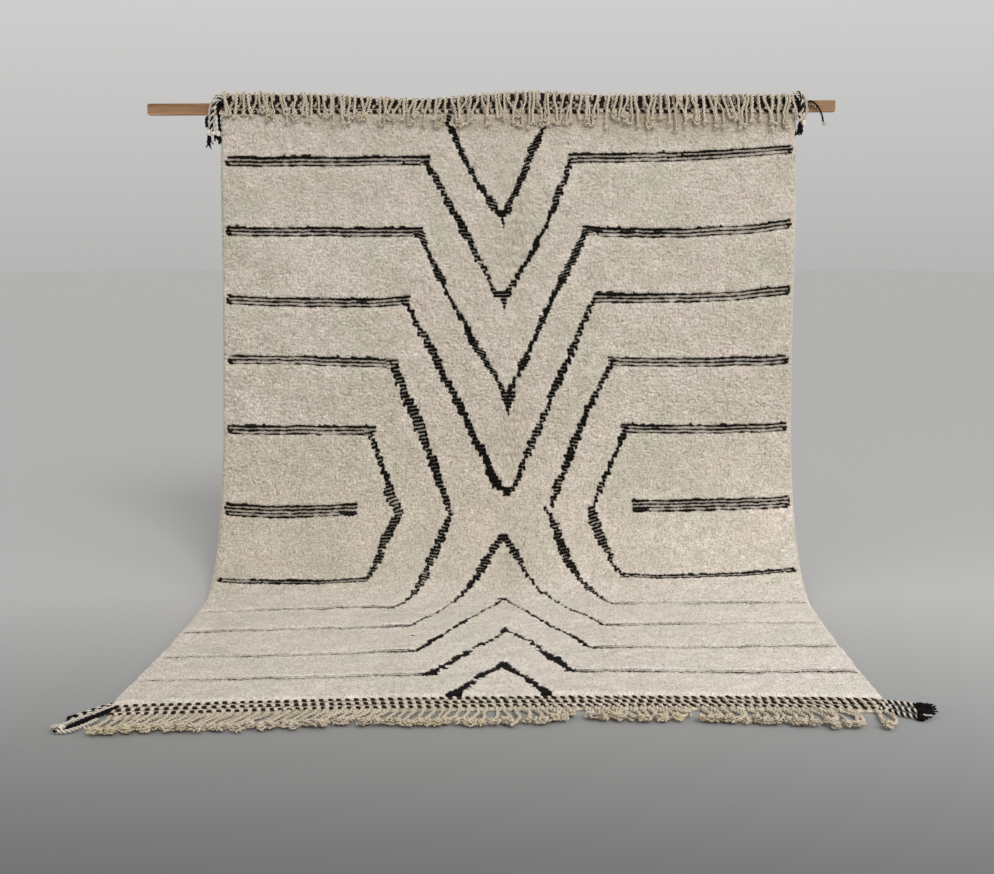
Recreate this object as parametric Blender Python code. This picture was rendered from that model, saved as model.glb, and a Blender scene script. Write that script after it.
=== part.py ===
"""Hand-knotted wool rug, hung by one end from a wooden batten and running out over the floor.

Metres, +Z up. X runs across the rug and its pile faces -Y. The origin is the middle of the
batten's back face, on the rug's centre line. "Along" is measured down the pile's face from the
top of the pile, and "across" runs from -1 at the rug's left edge to 1 at its right edge.
"""
import math
import random

import bmesh
import bpy
from mathutils import Vector

for old_object in list(bpy.data.objects):
    bpy.data.objects.remove(old_object, do_unlink=True)

GAP = 0.0003

# The batten, a planed strip of wood
ROD_LEFT = -1.247
ROD_RIGHT = 1.124
ROD_HEIGHT = 0.043
ROD_DEPTH = 0.028
ROD_ABOVE_FLOOR = 1.648
ROD_EDGE_BEVEL = 0.0015
ROD_LEFT_CORNER = 0.007
ROD_RIGHT_CORNER = 0.004

FLOOR = -ROD_ABOVE_FLOOR

# The knotted rug, foundation and pile together
RUG_THICKNESS = 0.020
RUG_LENGTH = 2.770
PILE_TOP = -0.024
HALF_WIDTH = 1.000
HALF_WIDTH_AT_ROD = 0.986
WIDTH_EASE = 0.25
EDGE_WAVES = 3.5
# How each side edge wanders: side, swing in metres, place along where the wave begins
EDGE_WOBBLE = {-1: (0.010, 0.75), 1: (0.005, 0.95)}
WOBBLE_EASE = 1.2
END_FLARE = 0.010
END_SKEW = 0.045
END_BOW = 0.045
RIM = 0.008

# The drape: straight down from the batten, then a bend that tightens towards the floor
BEND_LENGTH = 0.853
BEND_GROWTH = 1.3
RIPPLE = 0.007
RUG_COLUMNS = 20
RUG_ROWS = 50
DRAPE_STEP = 0.005

# The twined end bands and the fringe that grows out of them
BAND_THICKNESS = 0.006
TOP_BAND_HEIGHT = 0.068
END_BAND_DEPTH = 0.085
LOCKS = 80
LOCK_WIDTH = 0.008
FRINGE_SEED = 7

# The wave in the top band's upper edge: place across in metres, rise above the band's height
TOP_EDGE_WAVE = (
    (-0.99, 0.001),
    (-0.70, 0.000),
    (-0.32, -0.018),
    (0.08, 0.006),
    (0.38, -0.005),
    (0.99, -0.005),
)
# The fringe in front of the top band: place across in metres, fall from the band's upper edge,
# drift of the tips to the right
TOP_FRINGE = (
    (-0.99, 0.070, 0.000),
    (-0.70, 0.085, 0.012),
    (-0.40, 0.095, -0.016),
    (-0.10, 0.100, 0.010),
    (0.20, 0.095, -0.012),
    (0.60, 0.105, 0.014),
    (0.99, 0.110, 0.006),
)
# The fringe on the floor: place across in metres, length, heading in degrees to the right
END_FRINGE = (
    (-1.01, 0.115, -12.0),
    (-0.84, 0.130, -27.0),
    (-0.60, 0.150, -36.0),
    (-0.35, 0.120, -26.0),
    (-0.10, 0.115, -8.0),
    (0.08, 0.110, 6.0),
    (0.18, 0.050, 10.0),
    (0.28, 0.050, 8.0),
    (0.38, 0.065, -8.0),
    (0.62, 0.045, -14.0),
    (0.69, 0.115, -12.0),
    (0.93, 0.130, 4.0),
    (1.01, 0.120, 10.0),
)
# One lock along the floor: share of its length, its width and height there as shares of the root's
FLOOR_LOCK = (
    (0.15, 1.0, 1.0),
    (0.45, 0.9, 0.9),
    (0.80, 1.4, 1.3),
    (1.00, 0.8, 0.7),
)
FLOOR_LOCK_HEIGHT = 0.008
# A short stretch of the end band whose warps are worn away
BARE_STRETCH = (0.925, 0.955)

# The braided tails at the corners
BRAID_THICKNESS = 0.007
BRAID_PLAITS = 5
BRAID_LOBE = 0.14
BRAID_ROOT = 0.55
KNOT_SWELL = 1.35
TASSEL_SPLAY = 0.45


def table_value(table, place, column):
    """Read a column of a table at a place, easing smoothly from one row to the next."""
    if place <= table[0][0]:
        return table[0][column]
    for before, after in zip(table, table[1:]):
        if place <= after[0]:
            share = (place - before[0]) / (after[0] - before[0])
            eased = share * share * (3 - 2 * share)
            return before[column] + (after[column] - before[column]) * eased
    return table[-1][column]


def material(name, colour, roughness):
    """A plain wool or wood material with the part's own colour."""
    result = bpy.data.materials.new(name)
    result.use_nodes = True
    shader = result.node_tree.nodes["Principled BSDF"]
    shader.inputs["Base Color"].default_value = (*colour, 1.0)
    shader.inputs["Roughness"].default_value = roughness
    shader.inputs["Metallic"].default_value = 0.0
    return result


WOOD = material("batten_wood", (0.25, 0.12, 0.05), 0.6)
IVORY_PILE = material("ivory_pile", (0.60, 0.54, 0.44), 0.95)
CHECK_BAND = material("twined_band", (0.35, 0.32, 0.27), 0.9)
DARK_BRAID = material("dark_braid", (0.05, 0.045, 0.04), 0.9)


def add_object(name, bm, surface):
    """Turn a finished bmesh into a named object of plain triangles with its material."""
    bmesh.ops.triangulate(bm, faces=bm.faces, quad_method="SHORT_EDGE")
    bmesh.ops.recalc_face_normals(bm, faces=bm.faces)
    mesh = bpy.data.meshes.new(name)
    bm.to_mesh(mesh)
    bm.free()
    mesh.materials.append(surface)
    result = bpy.data.objects.new(name, mesh)
    bpy.context.scene.collection.objects.link(result)
    return result


def bridge_rings(bm, first, second):
    """Join two rings of the same number of vertices with quads."""
    count = len(first)
    for i in range(count):
        j = (i + 1) % count
        bm.faces.new((first[i], first[j], second[j], second[i]))


def grow_lock(bm, root, rings):
    """Grow a four-sided lock of yarn from the four root vertices through rings of points."""
    previous = root
    for ring in rings:
        current = [bm.verts.new(point) for point in ring]
        bridge_rings(bm, previous, current)
        previous = current
    bm.faces.new(previous)


def bend_lean(share):
    """Lean of the rug from the vertical, in radians, at a share of the way through the bend."""
    return math.pi / 2 * min(max(share, 0.0), 1.0) ** BEND_GROWTH


def drape_steps():
    """The side view of the pile's face, top to end, as steps of (y, z, lean)."""
    pieces = round(BEND_LENGTH / DRAPE_STEP)
    drop = sum(math.cos(bend_lean((i + 0.5) / pieces)) for i in range(pieces)) * BEND_LENGTH / pieces
    lying = FLOOR + RUG_THICKNESS
    hang = PILE_TOP - lying - drop
    y = -(ROD_DEPTH + GAP + RUG_THICKNESS)
    z = PILE_TOP
    steps = [(y, z, 0.0)]
    while len(steps) * DRAPE_STEP < RUG_LENGTH + 0.2:
        along = len(steps) * DRAPE_STEP
        lean = bend_lean((along - DRAPE_STEP / 2 - hang) / BEND_LENGTH)
        y -= DRAPE_STEP * math.sin(lean)
        z = max(z - DRAPE_STEP * math.cos(lean), lying)
        steps.append((y, z, bend_lean((along - hang) / BEND_LENGTH)))
    return steps


DRAPE = drape_steps()


def drape(along):
    """Point (y, z) and lean of the pile's face at a distance along it."""
    place = min(max(along / DRAPE_STEP, 0.0), len(DRAPE) - 1.001)
    index = int(place)
    share = place - index
    before = DRAPE[index]
    after = DRAPE[index + 1]
    return tuple(a + (b - a) * share for a, b in zip(before, after))


def rug_end(across):
    """Length of the pile at a place across: the weaver's end line is skewed and bowed."""
    return RUG_LENGTH - END_SKEW * across + END_BOW * across * across


def half_width(along, side):
    """Half the rug's width, narrower at the batten and a little uneven down each edge."""
    narrow = (HALF_WIDTH - HALF_WIDTH_AT_ROD) * math.exp(-along / WIDTH_EASE)
    swing, start = EDGE_WOBBLE[side]
    wobble = swing * math.sin(EDGE_WAVES * (along - start)) * min(1.0, along / WOBBLE_EASE)
    flare = END_FLARE * max(0.0, along / RUG_LENGTH) ** 6
    return HALF_WIDTH - narrow + wobble + flare


def rug_point(across, along, depth):
    """A point of the rug, with depth 0 on the pile's face and 1 on the woven back."""
    y, z, lean = drape(along)
    x = across * half_width(along, 1 if across > 0 else -1)
    calm = min(1.0, along / 0.3) * max(0.0, math.cos(lean)) ** 2
    ripple = RIPPLE * calm * (math.sin(5.1 * x + 0.6) + 0.6 * math.sin(9.7 * x - 1.1 + along))
    outward = ripple - depth * RUG_THICKNESS
    return Vector((x, y - outward * math.cos(lean), z + outward * math.sin(lean)))


def make_rod():
    """The batten: a box with eased edges, rounded at its left end and clipped at its right."""
    bm = bmesh.new()
    bmesh.ops.create_cube(bm, size=1.0)
    length = ROD_RIGHT - ROD_LEFT
    middle = Vector(((ROD_LEFT + ROD_RIGHT) / 2, -ROD_DEPTH / 2, 0.0))
    bmesh.ops.scale(bm, vec=(length, ROD_DEPTH, ROD_HEIGHT), verts=bm.verts)
    bmesh.ops.translate(bm, vec=middle, verts=bm.verts)

    def end_edges(place):
        return [
            edge for edge in bm.edges
            if all(abs(vert.co.x - place) < 1e-5 for vert in edge.verts)
            and abs(edge.verts[0].co.y - edge.verts[1].co.y) > ROD_DEPTH / 2
        ]

    corners = end_edges(ROD_LEFT)
    bmesh.ops.bevel(bm, geom=corners, offset=ROD_LEFT_CORNER, segments=4, profile=0.5, affect="EDGES")
    lower = [edge for edge in end_edges(ROD_RIGHT) if edge.verts[0].co.z < 0]
    bmesh.ops.bevel(bm, geom=lower, offset=ROD_RIGHT_CORNER, segments=1, affect="EDGES")
    long_edges = [
        edge for edge in bm.edges
        if abs(edge.verts[0].co.x - edge.verts[1].co.x) > length / 2
    ]
    bmesh.ops.bevel(bm, geom=long_edges, offset=ROD_EDGE_BEVEL, segments=2, profile=0.5,
                    affect="EDGES")
    return add_object("rod", bm, WOOD)


def make_rug():
    """The rug in one piece: rings round the slab, row by row from the band to the far end."""
    bm = bmesh.new()
    edge = 1 - RIM
    columns = [-edge + 2 * edge * i / RUG_COLUMNS for i in range(RUG_COLUMNS + 1)]
    rings = []
    for row in range(RUG_ROWS + 1):
        share = row / RUG_ROWS
        face = [rug_point(a, share * rug_end(a), 0.0) for a in columns]
        back = [rug_point(a, share * rug_end(a), 1.0) for a in columns]
        right = [rug_point(1.0, share * rug_end(1.0), 0.55)]
        left = [rug_point(-1.0, share * rug_end(-1.0), 0.55)]
        rings.append([bm.verts.new(p) for p in face + right + back[::-1] + left])
    for first, second in zip(rings, rings[1:]):
        bridge_rings(bm, first, second)
    count = len(columns)
    for ring in (rings[0], rings[-1]):
        face = ring[:count]
        back = ring[count + 1:2 * count + 1][::-1]
        for i in range(count - 1):
            bm.faces.new((face[i], face[i + 1], back[i + 1], back[i]))
        bm.faces.new((face[-1], ring[count], back[-1]))
        bm.faces.new((face[0], back[0], ring[-1]))
    rug = add_object("rug", bm, IVORY_PILE)
    rug.data.shade_smooth()
    rug.data.set_sharp_from_angle(angle=math.radians(50))
    return rug


def lock_places(start, end):
    """Centres of the locks' roots, evenly spaced from one end of a band to the other."""
    pitch = (end - start) / LOCKS
    return [start + pitch * (i + 0.5) for i in range(LOCKS)]


def band_with_fringe(name, sections, lock_rings):
    """A twined strip from its cross-sections, in pairs round each lock's root, and its fringe.

    A section is (outer front, outer back, inner back, inner front), and a lock grows from the
    outer face between the two sections of a pair, where lock_rings gives it any rings.
    """
    bm = bmesh.new()
    verts = [[bm.verts.new(p) for p in section] for section in sections]
    for index, (first, second) in enumerate(zip(verts, verts[1:])):
        for side in range(1, 4):
            other = (side + 1) % 4
            bm.faces.new((first[side], first[other], second[other], second[side]))
        root = [first[0], second[0], second[1], first[1]]
        rings = lock_rings[(index - 1) // 2] if index % 2 == 1 else None
        if rings:
            grow_lock(bm, root, rings)
        else:
            bm.faces.new(root)
    bm.faces.new(verts[0])
    bm.faces.new(verts[-1])
    return add_object(name, bm, CHECK_BAND)


def make_top_band():
    """The upper band, flat on the batten's front, its fringe falling forward over it."""
    draw = random.Random(FRINGE_SEED)
    back = -(ROD_DEPTH + GAP)
    front = back - BAND_THICKNESS
    low = PILE_TOP + GAP
    end = HALF_WIDTH_AT_ROD

    def section(x):
        high = low + TOP_BAND_HEIGHT + table_value(TOP_EDGE_WAVE, x, 1)
        return ((x, front, high), (x, back, high), (x, back, low), (x, front, low))

    sections = [section(-end)]
    lock_rings = []
    for x in lock_places(-end, end):
        sections += [section(x - LOCK_WIDTH / 2), section(x + LOCK_WIDTH / 2)]
        high = section(x)[0][2]
        slant = table_value(TOP_FRINGE, x, 2) + draw.uniform(-0.003, 0.003)
        hang = table_value(TOP_FRINGE, x, 1) + draw.uniform(-0.012, 0.008)
        clear = RUG_THICKNESS - BAND_THICKNESS + 0.004
        width = LOCK_WIDTH * draw.uniform(0.75, 1.0)
        # Each row: forward of the band's face, rise over its edge, share of the slant, tilt
        path = (
            (-0.001, 0.006, 0.0, 40),
            (0.007, 0.004, 0.1, 100),
            (0.012, -0.014, 0.3, 170),
            (clear, low - high + 0.016, 0.6, 172),
            (clear + 0.001, -hang, 1.0, 180),
        )
        rings = []
        for forward, rise, share, tilt in path:
            centre = Vector((x + slant * share, front - forward, high + rise))
            angle = math.radians(tilt)
            outer = Vector((0, -math.cos(angle), -math.sin(angle))) * BAND_THICKNESS * 0.4
            sideways = Vector((width / 2, 0, 0))
            rings.append((centre + outer - sideways, centre + outer + sideways,
                          centre - outer + sideways, centre - outer - sideways))
        lock_rings.append(rings)
    sections.append(section(end))
    return band_with_fringe("top_band", sections, lock_rings)


def floor_y(along):
    """The place on the floor, as y, of a distance along the rug past its bend."""
    return drape(along)[0]


def make_end_band():
    """The lower band and its fringe, lying flat on the floor in front of the pile."""
    draw = random.Random(FRINGE_SEED + 1)
    end = half_width(RUG_LENGTH, 1)
    high = FLOOR + BAND_THICKNESS

    def section(x):
        inner = floor_y(rug_end(x / end)) - GAP
        outer = inner - END_BAND_DEPTH
        return ((x, outer, high), (x, outer, FLOOR), (x, inner, FLOOR), (x, inner, high))

    sections = [section(-end)]
    lock_rings = []
    for x in lock_places(-end, end):
        sections += [section(x - LOCK_WIDTH / 2), section(x + LOCK_WIDTH / 2)]
        if BARE_STRETCH[0] < x < BARE_STRETCH[1]:
            lock_rings.append(None)
            continue
        length = table_value(END_FRINGE, x, 1) * draw.uniform(0.88, 1.08)
        heading = math.radians(table_value(END_FRINGE, x, 2) + draw.uniform(-2, 2))
        curl = math.radians(draw.uniform(-6, 6))
        start = Vector((x, section(x)[0][1], 0))
        rings = []
        for share, width, height in FLOOR_LOCK:
            angle = heading * min(1.0, share * 3) + curl * share
            ahead = Vector((math.sin(angle), -math.cos(angle), 0))
            spot = start + Vector((math.sin(heading), -math.cos(heading), 0)) * length * share
            sideways = Vector((-ahead.y, ahead.x, 0)) * LOCK_WIDTH * width / 2
            top = FLOOR + FLOOR_LOCK_HEIGHT * height
            rings.append((
                (spot.x - sideways.x, spot.y - sideways.y, top),
                (spot.x + sideways.x, spot.y + sideways.y, top),
                (spot.x + sideways.x, spot.y + sideways.y, FLOOR),
                (spot.x - sideways.x, spot.y - sideways.y, FLOOR),
            ))
        lock_rings.append(rings)
    sections.append(section(end))
    return band_with_fringe("end_band", sections, lock_rings)


def smooth_route(points, pieces):
    """Points evenly spread in number over a smooth curve through the given points."""
    route = []
    ends = [points[0] * 2 - points[1]] + points + [points[-1] * 2 - points[-2]]
    spans = len(points) - 1
    for i in range(pieces + 1):
        place = min(i / pieces * spans, spans - 1e-6)
        k = int(place)
        t = place - k
        a, b, c, d = ends[k:k + 4]
        route.append(0.5 * (2 * b + (c - a) * t + (2 * a - 5 * b + 4 * c - d) * t * t
                            + (3 * b - 3 * c + d - a) * t * t * t))
    return route


def make_tail(name, points, width, flat_axis, tassel):
    """A flat braid along a route, with a knot near its end and three tassel locks.

    flat_axis is the direction of the braid's thickness. On the floor it is up, and the braid's
    underside stays level with the floor.
    """
    bm = bmesh.new()
    route = smooth_route([Vector(p) for p in points], BRAID_PLAITS * 2)
    thick_way = Vector(flat_axis)
    on_floor = thick_way.z > 0.5
    rings = []
    for i, centre in enumerate(route):
        ahead = (route[min(i + 1, len(route) - 1)] - route[max(i - 1, 0)]).normalized()
        if i == 0:
            ahead = Vector((points[1][0] - points[0][0], 0, 0)).normalized()
        sideways = ahead.cross(thick_way).normalized()
        lobe = (1 + BRAID_LOBE * (-1) ** i) * min(1.0, BRAID_ROOT + i * 0.15)
        knot = KNOT_SWELL if i == len(route) - 2 else 1.0
        thick = BRAID_THICKNESS * (1 + (knot - 1) * 0.5)
        base = centre - thick_way * BRAID_THICKNESS / 2 if on_floor else centre - thick_way * thick / 2
        spread = [-0.5, -0.17, 0.17, 0.5]
        under = [base + sideways * width * lobe * knot * k for k in spread]
        over = [p + thick_way * thick for p in under]
        rings.append([bm.verts.new(p) for p in under + over[::-1]])
    for first, second in zip(rings, rings[1:]):
        bridge_rings(bm, first, second)
    for ring in (rings[0], rings[-1]):
        for k in range(3):
            quad = (ring[k], ring[k + 1], ring[6 - k], ring[7 - k])
            if ring is rings[0]:
                bm.faces.new(quad)
                continue
            ahead = (route[-1] - route[-2]).normalized()
            sideways = ahead.cross(thick_way).normalized()
            lean = sideways * (k - 1) * (TASSEL_SPLAY if on_floor else TASSEL_SPLAY / 3)
            lock = []
            for share, swell in ((0.35, 0.85), (0.75, 0.9), (1.0, 0.5)):
                reach = (ahead + lean * share) * tassel * share * (0.85 + 0.15 * ((k + 1) % 2))
                middle = sum((v.co for v in quad), Vector()) / 4
                shape = []
                for vert in quad:
                    point = middle + (vert.co - middle) * swell
                    if on_floor:
                        point.z = vert.co.z if vert.co.z < middle.z else FLOOR + BRAID_THICKNESS * 0.8 * swell
                    shape.append(point + reach)
                lock.append(shape)
            grow_lock(bm, list(quad), lock)
    return add_object(name, bm, DARK_BRAID)


def make_tails():
    """The four corner braids, where the twined rows of each band run on past the rug's edge."""
    edge = HALF_WIDTH_AT_ROD + GAP
    hang_y = -(ROD_DEPTH + GAP + BAND_THICKNESS / 2 + 0.001)
    upper = PILE_TOP + TOP_BAND_HEIGHT - 0.014
    out = (0, -1, 0)
    make_tail("tail_top_left", (
        (-edge, hang_y, upper), (-edge - 0.016, hang_y, upper - 0.010),
        (-edge - 0.032, hang_y, upper - 0.048), (-edge - 0.032, hang_y - 0.002, upper - 0.128),
    ), 0.024, out, 0.034)
    make_tail("tail_top_right", (
        (edge, hang_y, upper - 0.014), (edge + 0.012, hang_y, upper - 0.018),
        (edge + 0.021, hang_y, upper - 0.046), (edge + 0.020, hang_y - 0.002, upper - 0.090),
    ), 0.013, out, 0.026)

    end = half_width(RUG_LENGTH, 1) + GAP
    level = FLOOR + BRAID_THICKNESS / 2
    up = (0, 0, 1)
    for name, side, reach_x, reach_y, width, tassel in (
        ("tail_end_left", -1, 0.072, 0.152, 0.026, 0.034),
        ("tail_end_right", 1, 0.070, 0.100, 0.030, 0.042),
    ):
        start = floor_y(rug_end(side)) - GAP - 0.030
        make_tail(name, (
            (side * end, start, level), (side * (end + 0.020), start - 0.012, level),
            (side * (end + 0.052), start - reach_y * 0.45, level),
            (side * (end + reach_x), start - reach_y, level),
        ), width, up, tassel)


def make_loose_yarn():
    """A dark yarn end that curls out of the top band's right end, in front of the batten."""
    bm = bmesh.new()
    y = -(ROD_DEPTH + GAP + BAND_THICKNESS / 2 + 0.001)
    edge = HALF_WIDTH_AT_ROD + GAP
    route = smooth_route([Vector(p) for p in (
        (edge, y, 0.033), (edge + 0.034, y - 0.001, 0.033),
        (edge + 0.066, y - 0.003, 0.004), (edge + 0.082, y - 0.003, -0.056),
    )], 6)
    half = 0.0022
    rings = []
    for i, centre in enumerate(route):
        ahead = (route[min(i + 1, 6)] - route[max(i - 1, 0)]).normalized()
        up = Vector((0, -1, 0)).cross(ahead) * half
        out = Vector((0, -half, 0))
        rings.append((centre + up + out, centre + up - out, centre - up - out, centre - up + out))
    root = [bm.verts.new(p) for p in rings[0]]
    bm.faces.new(root[::-1])
    grow_lock(bm, root, rings[1:])
    return add_object("loose_yarn", bm, DARK_BRAID)


make_rod()
make_rug()
make_top_band()
make_end_band()
make_tails()
make_loose_yarn()
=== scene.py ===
"""Looks of a hand-knotted wool rug that hangs by one end from a wooden batten.

Metres, +Z up, in the part's own frame. The rug's pile faces -Y. The script runs from top to
bottom, one section for each piece in the order that the rug is made and hung.
"""
import math
import random

import bpy
import numpy as np
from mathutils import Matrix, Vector


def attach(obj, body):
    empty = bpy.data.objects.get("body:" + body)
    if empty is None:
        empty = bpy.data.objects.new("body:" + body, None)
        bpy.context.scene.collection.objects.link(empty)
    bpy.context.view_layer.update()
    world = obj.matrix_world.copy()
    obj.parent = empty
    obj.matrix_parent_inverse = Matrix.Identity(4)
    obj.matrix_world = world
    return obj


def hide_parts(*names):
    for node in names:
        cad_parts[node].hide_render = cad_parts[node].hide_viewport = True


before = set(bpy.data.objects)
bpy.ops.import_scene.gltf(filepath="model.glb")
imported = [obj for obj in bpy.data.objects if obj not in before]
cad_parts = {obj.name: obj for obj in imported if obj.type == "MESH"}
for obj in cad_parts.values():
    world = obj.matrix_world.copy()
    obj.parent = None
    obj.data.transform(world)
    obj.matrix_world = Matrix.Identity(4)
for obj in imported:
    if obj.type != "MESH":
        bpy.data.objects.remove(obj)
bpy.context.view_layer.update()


# The batten ---------------------------------------------------------------------------------
# A planed strip of warm brown softwood that the rug's upper end is fixed to. The grain runs along
# it, and handling has rubbed its long corners paler.

WHITE = (1.0, 1.0, 1.0)


def feed(tree, source, target):
    """Wire a socket to another one, or set it to a plain number, vector or colour."""
    if isinstance(source, bpy.types.NodeSocket):
        tree.links.new(source, target)
    else:
        target.default_value = (*source, 1.0) if target.type == "RGBA" else source


def add_node(tree, kind, *inputs, **values):
    """A shader node. Inputs fill its first sockets, and values name its settings or sockets."""
    node = tree.nodes.new("ShaderNode" + kind)
    node.location = (200 * len(tree.nodes), 0)
    for name, value in values.items():
        if hasattr(node, name):
            setattr(node, name, value)
        else:
            feed(tree, value, node.inputs[name.replace("_", " ")])
    for source, socket in zip(inputs, node.inputs):
        feed(tree, source, socket)
    return node


def work_out(tree, operation, *numbers):
    """The result of a Math node."""
    return add_node(tree, "Math", *numbers, operation=operation).outputs[0]


def spread(tree, value, *limits):
    """A number mapped from one range to another, which is 0 to 1 unless given, and clamped."""
    return add_node(tree, "MapRange", value, *limits).outputs[0]


def colour_blend(tree, share, first, second, way="MIX"):
    """The result of a colour Mix node."""
    node = add_node(tree, "Mix", share, data_type="RGBA", blend_type=way)
    feed(tree, first, node.inputs[6])
    feed(tree, second, node.inputs[7])
    return node.outputs[2]


def shade(tree, colour, share, low, high):
    """A colour multiplied by a shade that runs from low to high."""
    return colour_blend(tree, 1.0, colour, colour_blend(tree, share, low, high), "MULTIPLY")


def new_material(name, **finish):
    """A material and its node tree, with plain values on its Principled shader."""
    material = bpy.data.materials.new(name)
    material.use_nodes = True
    shader = material.node_tree.nodes["Principled BSDF"]
    for socket, value in finish.items():
        shader.inputs[socket.replace("_", " ")].default_value = value
    return material, material.node_tree


def dress(tree, colour, height, strength, distance):
    """Give a material's shader its colour, and a bump from a height."""
    shader = tree.nodes["Principled BSDF"]
    feed(tree, colour, shader.inputs["Base Color"])
    bump = add_node(tree, "Bump", Strength=strength, Distance=distance, Height=height)
    feed(tree, bump.outputs[0], shader.inputs["Normal"])


def batten_wood():
    """Oiled softwood: broad lengthwise bands, fine pores, paler rubbed corners."""
    material, tree = new_material("oiled_batten_wood", Roughness=0.55)
    where = add_node(tree, "TexCoord").outputs["Object"]
    broad = add_node(tree, "Mapping", where, Scale=(1.6, 55.0, 55.0)).outputs[0]
    bands = add_node(tree, "TexNoise", broad, Scale=1.3, Detail=4.0, Distortion=0.6).outputs[0]
    fine = add_node(tree, "Mapping", where, Scale=(14.0, 900.0, 900.0)).outputs[0]
    pores = add_node(tree, "TexNoise", fine, Scale=1.0, Detail=3.0).outputs[0]
    light = spread(tree, bands, 0.36, 0.66)
    wood = colour_blend(tree, light, (0.240, 0.117, 0.047), (0.385, 0.212, 0.100))
    wood = shade(tree, wood, spread(tree, pores, 0.42, 0.62), (0.66, 0.62, 0.58), WHITE)
    height = work_out(tree, "ABSOLUTE", add_node(tree, "SeparateXYZ", where).outputs[2])
    corner = spread(tree, height, 0.0165, 0.0215, 0.0, 0.75)
    wood = colour_blend(tree, work_out(tree, "MULTIPLY", corner, light), wood, (0.50, 0.32, 0.185))
    dress(tree, wood, pores, 0.35, 0.0006)
    return material


def add_object(name, data):
    """Put a mesh, lamp or camera into the scene."""
    added = bpy.data.objects.new(name, data)
    bpy.context.scene.collection.objects.link(added)
    return added


def fit(piece, node=None):
    """Fix a finished piece to the part, and hide the solid it stands for."""
    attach(piece, "root")
    if node:
        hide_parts(node)
    return piece


def make_batten():
    """The strip in the part's own shape, planed a little slimmer, its left end hung lower."""
    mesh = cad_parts["rod"].data.copy()
    mesh.name = "wooden_batten"
    for corner in mesh.vertices:
        corner.co.z = corner.co.z * 0.92 + corner.co.x * 0.0037 - 0.0009
    mesh.materials.clear()
    mesh.materials.append(batten_wood())
    for face in mesh.polygons:
        face.material_index = 0
    return add_object("wooden_batten", mesh)


fit(make_batten(), "rod")


# The woven back -----------------------------------------------------------------------------
# The rug's foundation: wool warps and wefts beaten close, with every row of knots showing as a
# row of small loops. One flat cloth, 2.00 m by 2.77 m, hung by its end and laid on the floor.

GAP = 0.0003
ROD_DEPTH = 0.028
FLOOR = -1.648
RUG_THICKNESS = 0.020
RUG_LENGTH = 2.770
PILE_TOP = -0.024
BACK_SHARE = 0.45
BEND_LENGTH = 0.853
BEND_GROWTH = 1.3
RIPPLE = 0.007
DRAPE_STEP = 0.005
# The left and the right edge: how far it swings in and out, and where its first swing starts
EDGE_WANDER = ((0.010, 0.75), (0.005, 0.95))
# The grid that the pile is made on. Three of its rows make one pair of knot rows.
ROWS = 660
COLUMNS = 450
ROW_HEIGHT = RUG_LENGTH / ROWS
PAIR_HEIGHT = 3 * ROW_HEIGHT
ACROSS = np.linspace(-1, 1, COLUMNS + 1)
DOWN = np.linspace(0, RUG_LENGTH, ROWS + 1)
# Levels of the knot chart: no dark knots, rows joined into one, loops where the yarn turns
NO_DARK = -0.5
JOINED = 1.15
LOOP = 1.30
BACK_LOOP_WIDTH = 0.0070

# The four charts below are in millimetres. How the rows of knots run across the rug: place down
# the middle, how much lower the row's left end is than its middle, and how much both ends are.
WEFT_WAYS = np.array((
    (0, 0, 0), (145, 19, 0), (397, 11, -3), (634, 14, -5), (849, 3, 0), (1087, 6, 3),
    (1373, 21, 0), (1662, 28, 0), (1861, 70, 13), (2105, 68, 18), (2347, 82, 20), (2584, 68, 16),
    (2770, 45, 45),
)) / 1000

# The dark lines that run in from both edges, to a knee: where the knee is across the rug, place
# down the middle at the edge and at the knee, sag between them, rows of dark knots, and the share
# of the rows that the pile hides.
EDGE_LINES = (
    (-268, 141, 151, 4, 3, 0.1), (207, 137, 155, 9, 3, 0.15),
    (-294, 390, 397, 2, 3, 0.05), (260, 387, 399, 20, 3, 0.15),
    (-343, 629, 637, 8, 3, 0.08), (303, 621, 632, 13, 3, 0.08),
    (-380, 841, 859, 1, 3, 0.08), (351, 847, 853, 8, 3, 0.08),
    (-463, 1089, 1096, 1, 3, 0.1), (401, 1085, 1094, 5, 3, 0.12),
    (-524, 1363, 1368, 9, 4, 0), (437, 1368, 1373, 3, 4, 0),
    (-468, 1654, 1662, 15, 2, 0.05), (382, 1643, 1663, 16, 2, 0.05),
    (-362, 1895, 1870, -15, 3, 0.8), (341, 1879, 1866, -2, 3, 0.8),
    (-297, 2120, 2101, -4, 3, 0.75), (315, 2107, 2110, 0, 3, 0.75),
    (-251, 2362, 2358, 12, 3, 0.62), (261, 2366, 2355, 2, 3, 0.6),
    (-207, 2590, 2587, 10, 3, 0.66), (191, 2604, 2577, 3, 3, 0.52),
)
# The rows of such a line, from the top: how dark, how rough, and how much it drifts
EDGE_LINE_ROWS = ((0.58, 0.18, 0.26), (0.50, 0.18, 0.08), (0.42, 0.26, 0.08), (0.42, 0.40, 0.08))

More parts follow.
